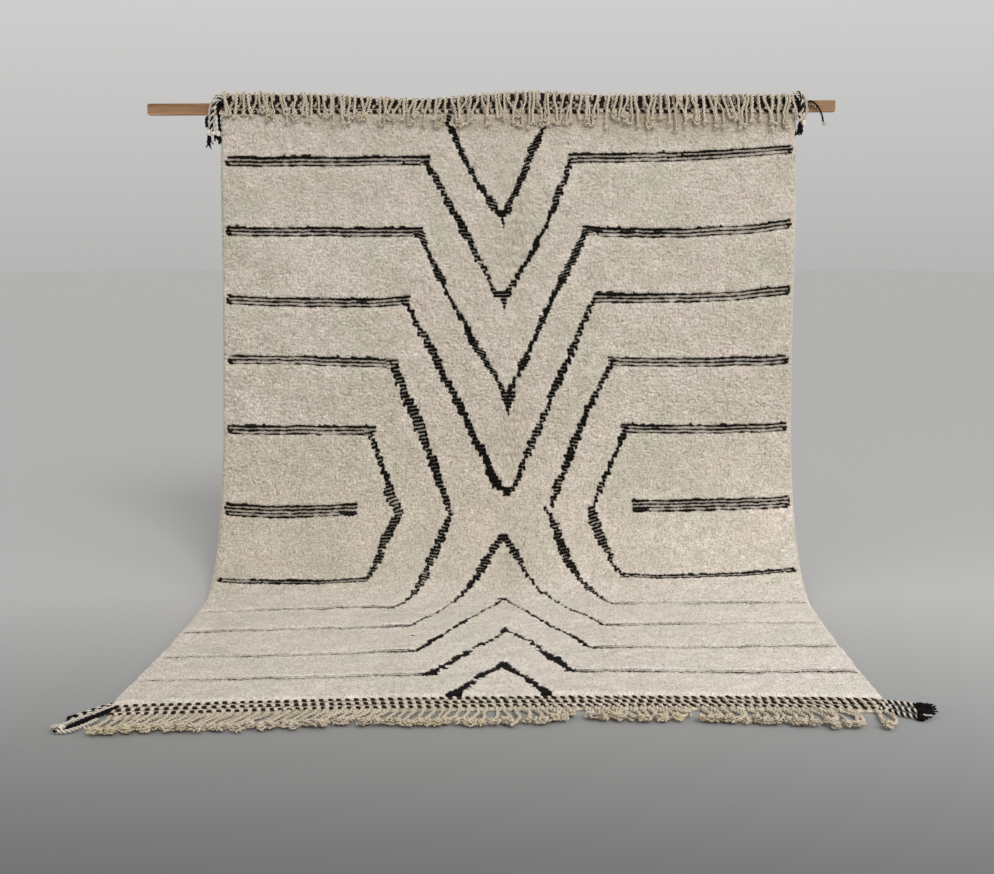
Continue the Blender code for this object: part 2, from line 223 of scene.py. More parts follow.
# The slanting arms of the chevrons and lozenges: across and down at the start, across and down at
# the end, bow to the right between them, widths at the start, a third and two thirds of the way
# and the end, share that the pile hides at the end, and how far the dashes tilt.
ARMS = (
    (-214, 0, -32, 340, -15, (16, 25, 20, 26), 0, -0.3),
    (137, 0, -9, 340, 6, (20, 33, 20, 26), 0, 0.3),
    (-288, 145, -38, 618, 1, (28, 20, 28, 20), 0, -0.1),
    (226, 145, -5, 618, 20, (24, 20, 13, 27), 0, 0.15),
    (-311, 397, 4, 985, -14, (30, 18, 20, 24), 0, -0.35),
    (276, 397, -3, 985, -4, (26, 20, 22, 20), 0, 0.35),
    (-362, 634, -26, 1305, 6, (24, 32, 24, 28), 0, 0.04),
    (306, 634, 23, 1305, -7, (10, 22, 22, 18), 0, -0.1),
    (-409, 849, -257, 1228, 4, (34, 34, 28, 34), 0, 0.12),
    (-257, 1228, -197, 1386, 3, (16, 22, 28, 14), 0, 0.15),
    (-193, 1386, -261, 1568, -2, (24, 24, 26, 28), 0, -0.2),
    (-259, 1568, -364, 1866, 12, (28, 25, 18, 10), 0.2, -0.2),
    (372, 849, 235, 1139, -5, (14, 18, 26, 38), 0, -0.1),
    (237, 1139, 149, 1377, 0, (40, 26, 24, 14), 0, -0.1),
    (137, 1377, 202, 1574, 6, (12, 22, 25, 27), 0, 0.22),
    (203, 1574, 355, 1866, -11, (27, 15, 20, 8), 0.2, 0.3),
    (-487, 1090, -417, 1284, 0, (32, 26, 18, 32), 0, 0.3),
    (-419, 1284, -379, 1383, -1, (24, 36, 36, 32), 0, 0.3),
    (-377, 1383, -441, 1538, -1, (30, 30, 34, 20), 0, 0.1),
    (-436, 1538, -484, 1668, 4, (22, 28, 24, 26), 0, 0),
    (422, 1087, 300, 1376, -2, (24, 11, 17, 19), 0, -0.2),
    (291, 1376, 360, 1578, -6, (28, 28, 28, 12), 0, 0.3),
    (356, 1578, 402, 1662, -6, (18, 9, 13, 14), 0, 0.2),
    (-19, 1486, -151, 1775, -8, (26, 30, 26, 18), 0, -0.2),
    (-154, 1766, -297, 2105, 5, (10, 8, 12, 8), 0, 0),
    (0, 1486, 121, 1760, 1, (28, 20, 10, 11), 0, 0.3),
    (124, 1750, 315, 2115, 1, (10, 10, 11, 10), 0, 0),
    (-13, 1800, -251, 2352, -2, (7, 10, 9, 16), 0, 0),
    (-8, 1785, 261, 2358, 1, (6, 8, 7, 9), 0, 0),
    (2, 2164, -100, 2345, 14, (18, 9, 6, 8), 0, 0),
    (-100, 2350, -207, 2590, 9, (11, 30, 17, 22), 0, 0),
    (2, 2160, 70, 2268, 1, (18, 12, 14, 12), 0, 0),
    (70, 2268, 191, 2580, 0, (14, 18, 32, 23), 0, 0),
    (-2, 2500, -131, 2770, -5, (22, 22, 12, 32), 0, 0),
    (4, 2520, 121, 2770, 6, (22, 15, 22, 34), 0, 0),
)

# The dark caps and drops on the points: across, down, length, width at its top and at its foot,
# and how dark: 0.8 keeps the rows apart, over 1 joins them.
POINTS = (
    (-20, 328, 20, 46, 26, 1.25), (-18, 346, 24, 12, 9, 1.25), (-14, 368, 24, 9, 6, 1.1),
    (-18, 606, 18, 66, 62, 0.95), (-12, 624, 46, 30, 5, 0.9), (2, 956, 40, 58, 44, 0.8),
    (1, 996, 36, 34, 7, 1.15), (4, 1030, 16, 7, 5, 1.1), (0, 1303, 28, 30, 26, 1.3),
    (-12, 1474, 24, 30, 50, 1.1), (-13, 1790, 14, 26, 40, 1.1), (0, 2120, 60, 6, 34, 1.3),
    (0, 2480, 40, 24, 46, 1.3), (-282, 2196, 6, 8, 8, 1.1),
)


def lean_at(share):
    """Lean of the rug from the vertical, in radians, at a share of the way through the bend."""
    return math.pi / 2 * min(max(share, 0.0), 1.0) ** BEND_GROWTH


def drape_profile():
    """The side view of the pile's face: places along it, y, z and lean."""
    pieces = round(BEND_LENGTH / DRAPE_STEP)
    drop = sum(math.cos(lean_at((i + 0.5) / pieces)) for i in range(pieces)) * BEND_LENGTH / pieces
    lying = FLOOR + RUG_THICKNESS
    hang = PILE_TOP - lying - drop
    along, y, z = 0.0, -(ROD_DEPTH + GAP + RUG_THICKNESS), PILE_TOP
    steps = [(along, y, z, 0.0)]
    while along < RUG_LENGTH + 0.2:
        along += DRAPE_STEP
        lean = lean_at((along - DRAPE_STEP / 2 - hang) / BEND_LENGTH)
        y -= DRAPE_STEP * math.sin(lean)
        z = max(z - DRAPE_STEP * math.cos(lean), lying)
        steps.append((along, y, z, lean_at((along - hang) / BEND_LENGTH)))
    return np.array(steps).T


DRAPE = drape_profile()


def half_width(along, side):
    """Half the rug's width: narrower at the batten, uneven down each edge."""
    swing, start = (np.where(side > 0, right, left) for left, right in zip(*EDGE_WANDER))
    wobble = swing * np.sin(3.5 * (along - start)) * np.minimum(1.0, along / 1.2)
    flare = 0.010 * np.maximum(0.0, along / RUG_LENGTH) ** 6
    return 1.0 - 0.014 * np.exp(-along / 0.25) + wobble + flare


def rug_place(across, along, out):
    """Points of the rug, at a distance out in front of the pile's face."""
    across, along, out = np.broadcast_arrays(*(np.asarray(v, float) for v in (across, along, out)))
    y, z, lean = (np.interp(along, DRAPE[0], column) for column in DRAPE[1:])
    x = across * half_width(along, across)
    calm = np.minimum(1.0, along / 0.3) * np.maximum(0.0, np.cos(lean)) ** 2
    ripple = RIPPLE * calm * (np.sin(5.1 * x + 0.6) + 0.6 * np.sin(9.7 * x - 1.1 + along))
    outward = ripple + out
    return np.stack((x, y - outward * np.cos(lean), z + outward * np.sin(lean)), axis=-1)


def weft_along(across, row):
    """How far along the rug a row of knots is at a place across."""
    lower, bow = (np.interp(row, WEFT_WAYS[:, 0], column) for column in WEFT_WAYS.T[1:])
    return row - lower * across + bow * across * across


def ease(share):
    """A share that starts and stops smoothly."""
    return share * share * (3 - 2 * share)


def wander(places, spacing, seed):
    """A smooth random line from -1 to 1 over the places, turning about once in each spacing."""
    marks = np.random.default_rng(seed).uniform(-1, 1, 4096)
    place = np.asarray(places, float) / spacing + 1000.0
    index = np.floor(place).astype(int)
    share = ease(place - index)
    return marks[index % 4096] * (1 - share) + marks[(index + 1) % 4096] * share


def patches(u, v, size, seed):
    """A smooth random surface from -1 to 1 with patches of about the given size."""
    marks = np.random.default_rng(seed).uniform(-1, 1, (512, 512))
    a, b = np.broadcast_arrays(np.asarray(u) / size + 100.0, np.asarray(v) / size + 100.0)
    i, j = np.floor(a).astype(int), np.floor(b).astype(int)
    s, t = ease(a - i), ease(b - j)
    i, j, k, m = i % 512, j % 512, (i + 1) % 512, (j + 1) % 512
    return ((marks[i, j] * (1 - s) + marks[k, j] * s) * (1 - t)
            + (marks[i, m] * (1 - s) + marks[k, m] * s) * t)


def lay(level, i, strength, inside):
    """Darken one row of the chart to a strength, where inside (in metres) is above 0."""
    if 0 <= i <= ROWS:
        soft = np.clip(inside / 0.0045 + 0.5, 0, 1)
        level[i] = np.maximum(level[i], NO_DARK + (strength - NO_DARK) * soft)


def chart_edge_lines(level, lean, draw):
    """The lines from both edges to a knee, as rows of dark knots that wander in strength."""
    x = ACROSS
    for number, (*places, rows, hidden) in enumerate(EDGE_LINES):
        knee_at, at_edge, at_knee, sag = (place / 1000 for place in places)
        side = -1 if knee_at < 0 else 1
        seed = 100 + number * 12
        edge_at = side * (0.993 - 0.005 * draw.random())
        share = np.clip((edge_at - x) / (edge_at - knee_at), 0, 1)
        middle = at_edge + (at_knee - at_edge) * share + sag * 4 * share * (1 - share)
        middle += 0.0020 * wander(x, 0.090, seed) + 0.0012 * wander(x, 0.030, seed + 1)
        top = middle - rows * PAIR_HEIGHT / 2
        from_knee, from_edge = (x - knee_at) * side, (edge_at - x) * side
        run = np.minimum(from_knee + 0.003, from_edge)
        slow = wander(x, 0.130, seed + 2)
        hairs = 0.6 * wander(x, 0.013, seed + 3) + 0.5 * wander(x, 0.041, seed + 4) + 0.4 * slow
        knee = np.clip(1 - np.abs(x - knee_at) / 0.26, 0, 1)
        strengths, runs = [], []
        for k in range(rows):
            rough = wander(x, 0.018, seed + 5 + k)
            if hidden > 0.5:
                strength = (0.13, 0.60 - 0.42 * hidden, 0.10)[k] + 0.55 * knee ** 4
                strength = strength + (0.16 if k == 1 else 0.08) * slow + 0.08 * rough
            else:
                base, unevenness, drift = EDGE_LINE_ROWS[k]
                strength = base + unevenness * rough + drift * slow
                strength = strength + (0.20 * knee ** 2 if k == 0 else 0.0)
                strength = strength + (0.08 if rows != 3 else 0.0)
                strength = strength - 0.4 * hidden * (k == rows - 1)
            strengths.append(strength)
            shorter = run - 0.006 * draw.random()
            ragged = (0.004 + 0.008 * draw.random()) * (k in (0, rows - 1))
            runs.append(np.minimum(shorter, from_edge - ragged))
        strengths, runs = np.array(strengths), np.array(runs)
        phase = round(float(top.mean()) / PAIR_HEIGHT) * PAIR_HEIGHT - top
        column = np.arange(COLUMNS + 1)
        upper_join = wander(x, 0.040, seed + 9) + 0.5 * slow > 0.98
        lower_join = wander(x, 0.045, seed + 10) > 0.96
        first = int(top.min() / ROW_HEIGHT) - 4
        last = int(top.max() / ROW_HEIGHT) + 3 * rows + 6
        for i in range(max(0, first), min(ROWS + 1, last)):
            step = (i * ROW_HEIGHT - top) / PAIR_HEIGHT
            k = np.clip(np.floor(step).astype(int), 0, rows - 1)
            close = (run > -0.008) & (step > -1.2) & (step < rows + 1.2)
            lean[i, close] = phase[close]
            on_line = (step >= 0) & (step <= rows)
            lay(level, i, strengths[k, column], np.where(on_line, runs[k, column], -1))
            if hidden > 0.5:
                continue
            hairy = (step < 0.3) & (step > -0.50 * np.clip(hairs - 0.20, 0, 0.8)) & (hairs > 0.15)
            lay(level, i, 1.0 + 0.2 * hairs, np.where(hairy, run - 0.004, -1))
            seam = np.clip(np.round(step), 1, rows - 1).astype(int)
            joined = np.where(seam == 1, upper_join, lower_join)
            end_reach = np.where(seam == rows - 1, 0.020, 0.009 * (number % 3 > 0))
            joined |= np.abs(x - edge_at) < end_reach
            joined |= (rows == 4) & (seam == 3) & (from_knee < 0.060)
            joined &= np.abs(step - seam) < 0.30
            lay(level, i, JOINED, np.where(joined, run - 0.002, -1))


def chart_arms(level, lean, draw):
    """The slanting arms, one dash for each pair of rows, with loops where the yarn turns."""
    x = ACROSS
    for number, (*places, widths, hidden, tilt) in enumerate(ARMS):
        x0, v0, x1, v1, bow = (place / 1000 for place in places)
        seed = 900 + number * 7
        loop_side = 1
        for pair in range(round(v0 / PAIR_HEIGHT), min(ROWS // 3, round(v1 / PAIR_HEIGHT))):
            place = (pair + 0.5) * PAIR_HEIGHT
            share = min(max((place - v0) / (v1 - v0), 0.0), 1.0)
            middle = x0 + (x1 - x0) * share + bow * 4 * share * (1 - share)
            middle += 0.0035 * float(wander(place, 0.06, seed))
            width = 0.001 * float(np.interp(share * 3, (0, 1, 2, 3), widths))
            lying = min(max((place - 1.95) / 0.25, 0.0), 1.0)
            width *= 0.95 + 0.12 * lying + 0.34 * float(wander(place, 0.050, seed + 1))
            left = middle - width / 2 + draw.uniform(-0.0065, 0.0045)
            left -= lying * draw.uniform(-0.003, 0.006)
            right = middle + width / 2 + draw.uniform(-0.0045, 0.0065)
            right += lying * draw.uniform(-0.003, 0.006)
            inside = np.minimum(x - left, right - x)
            full = float(wander(place, 0.085, seed + 2))
            strength = 0.88 + 0.27 * full + draw.uniform(-0.24, 0.18)
            strength += lying * draw.uniform(0.1, 1.0)
            strength -= 0.45 * hidden * share * (0.5 + 0.5 * float(wander(place, 0.12, seed + 3)))
            near = np.abs(x - middle) < width / 2 + 0.012
            for i in range(3 * pair, 3 * pair + 4):
                lay(level, i, strength, inside)
                lean[i, near] = tilt * np.clip(x - middle, -width / 2, width / 2)[near]
            if draw.random() < 0.85:
                loop_side = -loop_side
            edge = left if loop_side < 0 else right
            turn_row = 3 * pair + 3 - tilt * loop_side * (width / 2 - 0.004) / ROW_HEIGHT
            for i in (math.floor(turn_row), math.ceil(turn_row)):
                lay(level, i, LOOP, 0.0052 - np.abs(x - edge + loop_side * 0.0045))
            if full > 0.42:
                lay(level, 3 * pair + 3, 1.05, inside - 0.002)


def knot_chart():
    """How much of each pair of knot rows is dark, at every point of the pile's grid.

    A level of 0.6 darkens the middle six tenths of the pair, a level over 1 darkens it all, and
    one below 0 leaves it ivory. The second table says how far the dark dashes lean out of the
    row, in metres.
    """
    level = np.full((ROWS + 1, COLUMNS + 1), NO_DARK)
    lean = np.zeros((ROWS + 1, COLUMNS + 1))
    draw = np.random.default_rng(21)
    chart_edge_lines(level, lean, draw)
    chart_arms(level, lean, draw)
    for *places, strength in POINTS:
        across, down, length, top_width, foot_width = (place / 1000 for place in places)
        first = int(round(down / ROW_HEIGHT))
        last = max(first + 1, int(round((down + length) / ROW_HEIGHT)))
        for i in range(first, min(last, ROWS) + 1):
            width = top_width + (foot_width - top_width) * (i - first) / (last - first)
            inside = width / 2 - np.abs(ACROSS - across + draw.uniform(-0.002, 0.002))
            lay(level, i, strength, inside)
            lean[i, inside > -0.008] *= 0.3
    return level, lean


KNOT_LEVEL, KNOT_LEAN = knot_chart()


def solid_piece(name, material, points, faces, tints, uv=None):
    """Make a piece's mesh. The tint is (dark, crest, tone, worn), for each point: crest holds
    painted light and shade, worn holds wear and, on the pile, painted shade under the upper band.
    """
    mesh = bpy.data.meshes.new(name)
    mesh.from_pydata(points, [], faces)
    mesh.update()
    yarn = mesh.color_attributes.new("yarn", "FLOAT_COLOR", "POINT")
    yarn.data.foreach_set("color", np.asarray(tints, np.float32).ravel())
    if uv is not None:
        layer = mesh.uv_layers.new(name="cloth")
        spots = np.empty(len(mesh.loops), np.int32)
        mesh.loops.foreach_get("vertex_index", spots)
        layer.data.foreach_set("uv", np.asarray(uv, np.float32)[spots].ravel())
    mesh.shade_smooth()
    mesh.materials.append(material)
    return add_object(name, mesh)


def woven_back_material():
    """Close rows of knot loops seen from behind: small ribs across, dashes down."""
    material, tree = new_material("woven_wool_back", Roughness=0.95)
    flat = add_node(tree, "UVMap", uv_map="cloth").outputs[0]
    across, down, _ = add_node(tree, "SeparateXYZ", flat).outputs
    ribs = []
    for way, pitch in ((down, PAIR_HEIGHT / 2), (across, BACK_LOOP_WIDTH), (down, PAIR_HEIGHT)):
        turns = work_out(tree, "MULTIPLY", way, 2 * math.pi / pitch)
        ribs.append(spread(tree, work_out(tree, "SINE", turns), -1.0, 1.0))
    loops = work_out(tree, "MULTIPLY", ribs[0], ribs[1])
    where = add_node(tree, "TexCoord").outputs["Object"]
    soiling = add_node(tree, "TexNoise", where, Scale=6.0, Detail=5.0).outputs[0]
    tint = add_node(tree, "Attribute", attribute_name="yarn").outputs["Color"]
    dark = add_node(tree, "SeparateColor", tint).outputs[0]
    wool = colour_blend(tree, soiling, (0.60, 0.54, 0.45), (0.76, 0.70, 0.61))
    # Painted shade in the grooves between the loops.
    wool = shade(tree, wool, loops, (0.62, 0.58, 0.54), WHITE)
    knots = work_out(tree, "MULTIPLY", spread(tree, dark, 0.38, 0.56, 0.0, 0.96),
                     spread(tree, loops, 0.02, 0.18))
    upper_row = work_out(tree, "MULTIPLY", knots, spread(tree, ribs[2], 0.46, 0.60))
    wool = colour_blend(tree, upper_row, wool, (0.020, 0.016, 0.013))
    dress(tree, wool, loops, 0.8, 0.0018)
    return material


def make_woven_back():
    """The foundation as one closed cloth: fine rows behind, where it shows, coarse in front."""
    rows, columns, coarse = ROWS // 3, COLUMNS // 3, 15
    across = np.linspace(-1, 1, columns + 1)[None, :]
    row = np.linspace(0, RUG_LENGTH, rows + 1)[:, None]
    along = weft_along(across, row)
    sheets = [rug_place(across, along, -RUG_THICKNESS * depth).reshape(-1, 3)
              for depth in (1, 1 - BACK_SHARE)]
    dark = np.clip(KNOT_LEVEL[:-1, :-1], 0, 1).reshape(rows, 3, columns, 3).mean((1, 3))
    dark = np.pad(np.clip(1.5 * dark, 0, 1), 1, mode="edge")
    dark = ((dark[:-1, :-1] + dark[1:, :-1] + dark[:-1, 1:] + dark[1:, 1:]) / 4).ravel()
    flat = np.stack(np.broadcast_arrays(across, row), -1).reshape(-1, 2)
    kept, points, tints, flats, faces = {}, [], [], [], []

    def spot(layer, i, j):
        index = i * (columns + 1) + j
        if (layer, index) not in kept:
            kept[layer, index] = len(points)
            points.append(tuple(sheets[layer][index]))
            tints.append((dark[index], 1.0, 0.5, 0.0))
            flats.append(tuple(flat[index]))
        return kept[layer, index]

    def rim(i, j, k, m):
        """One face of the closed edge, from row i, column j to row k, column m."""
        faces.append((spot(0, i, j), spot(0, k, m), spot(1, k, m), spot(1, i, j)))

    for i in range(rows):
        for j in range(columns):
            faces.append((spot(0, i, j), spot(0, i, j + 1),
                          spot(0, i + 1, j + 1), spot(0, i + 1, j)))
    for i in range(rows):
        upper = 1 if i == 0 else coarse
        lower = 1 if i == rows - 1 else coarse
        for j in range(0, columns, coarse):
            faces.append(tuple([spot(1, i, k) for k in range(j + coarse, j - 1, -upper)]
                               + [spot(1, i + 1, k) for k in range(j, j + coarse + 1, lower)]))
        rim(i, 0, i + 1, 0)
        rim(i + 1, columns, i, columns)
    for j in range(columns):
        rim(0, j + 1, 0, j)
        rim(rows, j, rows, j + 1)
    back = solid_piece("woven_back", woven_back_material(), points, faces, tints, flats)
    back.data.set_sharp_from_angle(angle=math.radians(50))
    return back


woven_back = fit(make_woven_back(), "rug")


# The pile -----------------------------------------------------------------------------------
# Thick two-ply ivory wool, knotted row by row and cut about 15 mm long, so it falls into small
# rounded tufts with partings, which are darkened with painted shade. The lines are dark brown
# knots, a little lower than the ivory.

TUFT_WIDTH = 0.0086
TUFT_HEIGHT = 0.0105
TUFT_RISE = 0.0042
PARTING_DEPTH = 0.0020
PATCH_RISE = 0.0022
RIM_RADIUS = 0.014
DARK_RECESS = 0.0022
LENGTH_ROWS = 165

# Places where the pile has parted into streaks: across, down, half its width, half its length.
PARTED = (
    (0.035, 0.42, 0.05, 0.34), (0.02, 1.1, 0.045, 0.3), (0.03, 1.62, 0.06, 0.28),
    (-0.06, 0.7, 0.09, 0.03), (-0.26, 1.386, 0.1, 0.022), (0.245, 1.377, 0.09, 0.022),
)


def tufts(u, v, width, height, seed):
    """Tufts scattered one to a cell: distance from the nearest, how near the next is, its tone."""
    draw = np.random.default_rng(seed)
    marks = draw.uniform(0.12, 0.88, (1024, 1024, 2))
    tones = draw.uniform(0, 1, (1024, 1024))
    a, b = np.broadcast_arrays(np.asarray(u) / width + 400.0, np.asarray(v) / height + 100.0)
    i, j = np.floor(a).astype(int), np.floor(b).astype(int)
    nearest, second, tone = np.full(a.shape, 9.0), np.full(a.shape, 9.0), np.zeros(a.shape)
    for di in (-1, 0, 1):
        for dj in (-1, 0, 1):
            p, q = (i + di) % 1024, (j + dj) % 1024
            away = np.hypot(i + di + marks[p, q, 0] - a, j + dj + marks[p, q, 1] - b)
            closer = away < nearest
            second = np.where(closer, nearest, np.minimum(second, away))
            tone = np.where(closer, tones[p, q], tone)
            nearest = np.where(closer, away, nearest)
    return nearest, second - nearest, tone


def wool_fibre_group():
    """Fine wool: a tone and a soft patchiness over the yarn, crisp curls, and a height for bump."""
    group = bpy.data.node_groups.new("wool_fibres", "ShaderNodeTree")
    for way, names in (("INPUT", ("Fibre Scale", "Curl Scale", "Patch Scale")),
                       ("OUTPUT", ("Tone", "Patch", "Curl", "Height"))):
        for name in names:
            group.interface.new_socket(name, in_out=way, socket_type="NodeSocketFloat")
    given = group.nodes.new("NodeGroupInput").outputs
    result = group.nodes.new("NodeGroupOutput").inputs
    where = add_node(group, "TexCoord").outputs["Object"]
    fibres = add_node(group, "TexNoise", where, Scale=given["Fibre Scale"], Detail=3.0,
                      Roughness=0.65).outputs[0]
    patch = add_node(group, "TexNoise", where, Scale=given["Patch Scale"], Detail=3.0,
                     Roughness=0.55).outputs[0]
    stir = add_node(group, "TexNoise", where, Scale=given["Curl Scale"], Detail=2.0).outputs
    stirred = add_node(group, "VectorMath", stir["Color"], (0.012, 0.012, 0.012), where,
                       operation="MULTIPLY_ADD").outputs[0]
    cells = add_node(group, "TexVoronoi", stirred, feature="DISTANCE_TO_EDGE",
                     Scale=given["Curl Scale"]).outputs["Distance"]
    often = spread(group, stir["Fac"], 0.38, 0.60, 0.15, 1.0)
    deep = work_out(group, "MULTIPLY", spread(group, cells, 0.0, 0.16, 1.0, 0.0), often)
    curl = work_out(group, "SUBTRACT", 1.0, deep)
    feed(group, spread(group, fibres, 0.30, 0.70), result["Tone"])
    feed(group, spread(group, patch, 0.34, 0.66), result["Patch"])
    feed(group, curl, result["Curl"])
    feed(group, work_out(group, "MULTIPLY_ADD", fibres, 0.6, curl), result["Height"])
    return group


WOOL_FIBRES = wool_fibre_group()


def row_distance(tree, knot_rows, fibre_tone):
    """How far a spot is from the middle of its pair of knot rows: 0 there, 1 between pairs."""
    flat = add_node(tree, "UVMap", uv_map="cloth").outputs[0]
    down = add_node(tree, "SeparateXYZ", flat).outputs[1]
    pairs = work_out(tree, "MULTIPLY", down, 1 / knot_rows)
    wobble = work_out(tree, "MULTIPLY_ADD", fibre_tone, 0.16, pairs)
    off_middle = work_out(tree, "SUBTRACT", work_out(tree, "FRACT", wobble), 0.58)
    return work_out(tree, "MULTIPLY", work_out(tree, "ABSOLUTE", off_middle), 2.0)


def wool_material(name, pale, beige, dark, painted_shade_colour, worn, fibre_scale, curl_scale, bump_height,
                  fray=0.35, knot_rows=None):
    """Wool yarn coloured by its tint: pale or dark yarn, painted light and shade on crests,
    partings and knot lines, worn and yellowed ends.
    """
    material, tree = new_material(name, Roughness=0.95, Sheen_Weight=0.02, Sheen_Roughness=0.6,
                                  Specular_IOR_Level=0.06)
    tint = add_node(tree, "Attribute", attribute_name="yarn").outputs
    darkness, crest, tone = add_node(tree, "SeparateColor", tint["Color"]).outputs
    fibres = add_node(tree, "Group", node_tree=WOOL_FIBRES, Fibre_Scale=fibre_scale,
                      Curl_Scale=curl_scale, Patch_Scale=5.0).outputs
    wool = colour_blend(tree, tone, beige, pale)
    wool = shade(tree, wool, fibres["Patch"], (0.93, 0.943, 0.892), (1.035, 0.993, 0.985))
    wool = shade(tree, wool, fibres["Tone"], (0.80, 0.79, 0.77), (1.10, 1.10, 1.10))
    # Painted shade in the creases between curls, with a slight painted highlight on the curls.
    wool = shade(tree, wool, fibres["Curl"], (0.70, 0.67, 0.61), (1.03, 1.03, 1.03))
    # Painted shade: the crest tint darkens the partings between tufts and the sides of yarns that
    # face away from the light.
    wool = shade(tree, wool, crest, painted_shade_colour, WHITE)
    wool = colour_blend(tree, tint["Alpha"], wool, worn)
    if knot_rows:
        level = work_out(tree, "MULTIPLY_ADD", darkness, 2.5, -1.0)
        over = work_out(tree, "SUBTRACT", level, row_distance(tree, knot_rows, fibres["Tone"]))
        ragged = work_out(tree, "MULTIPLY_ADD", fibres["Tone"], fray, over)
        mask = spread(tree, ragged, fray / 2 - 0.05, fray / 2 + 0.10)
        # Painted shade in and beside the dark knot lines, where the pile parts into a groove.
        painted_line_shade = spread(tree, level, -0.05, 0.60, 0.0, 0.70)
        wool = colour_blend(tree, painted_line_shade, wool, (0.185, 0.160, 0.128))
    else:
        ragged = work_out(tree, "MULTIPLY_ADD", fibres["Tone"], fray, darkness)
        mask = spread(tree, ragged, 0.42 + fray / 2, 0.62 + fray / 2)
    brown = colour_blend(tree, fibres["Tone"], tuple(c * 0.55 for c in dark), dark)
    dress(tree, colour_blend(tree, mask, wool, brown), fibres["Height"], 0.7, bump_height)
    return material


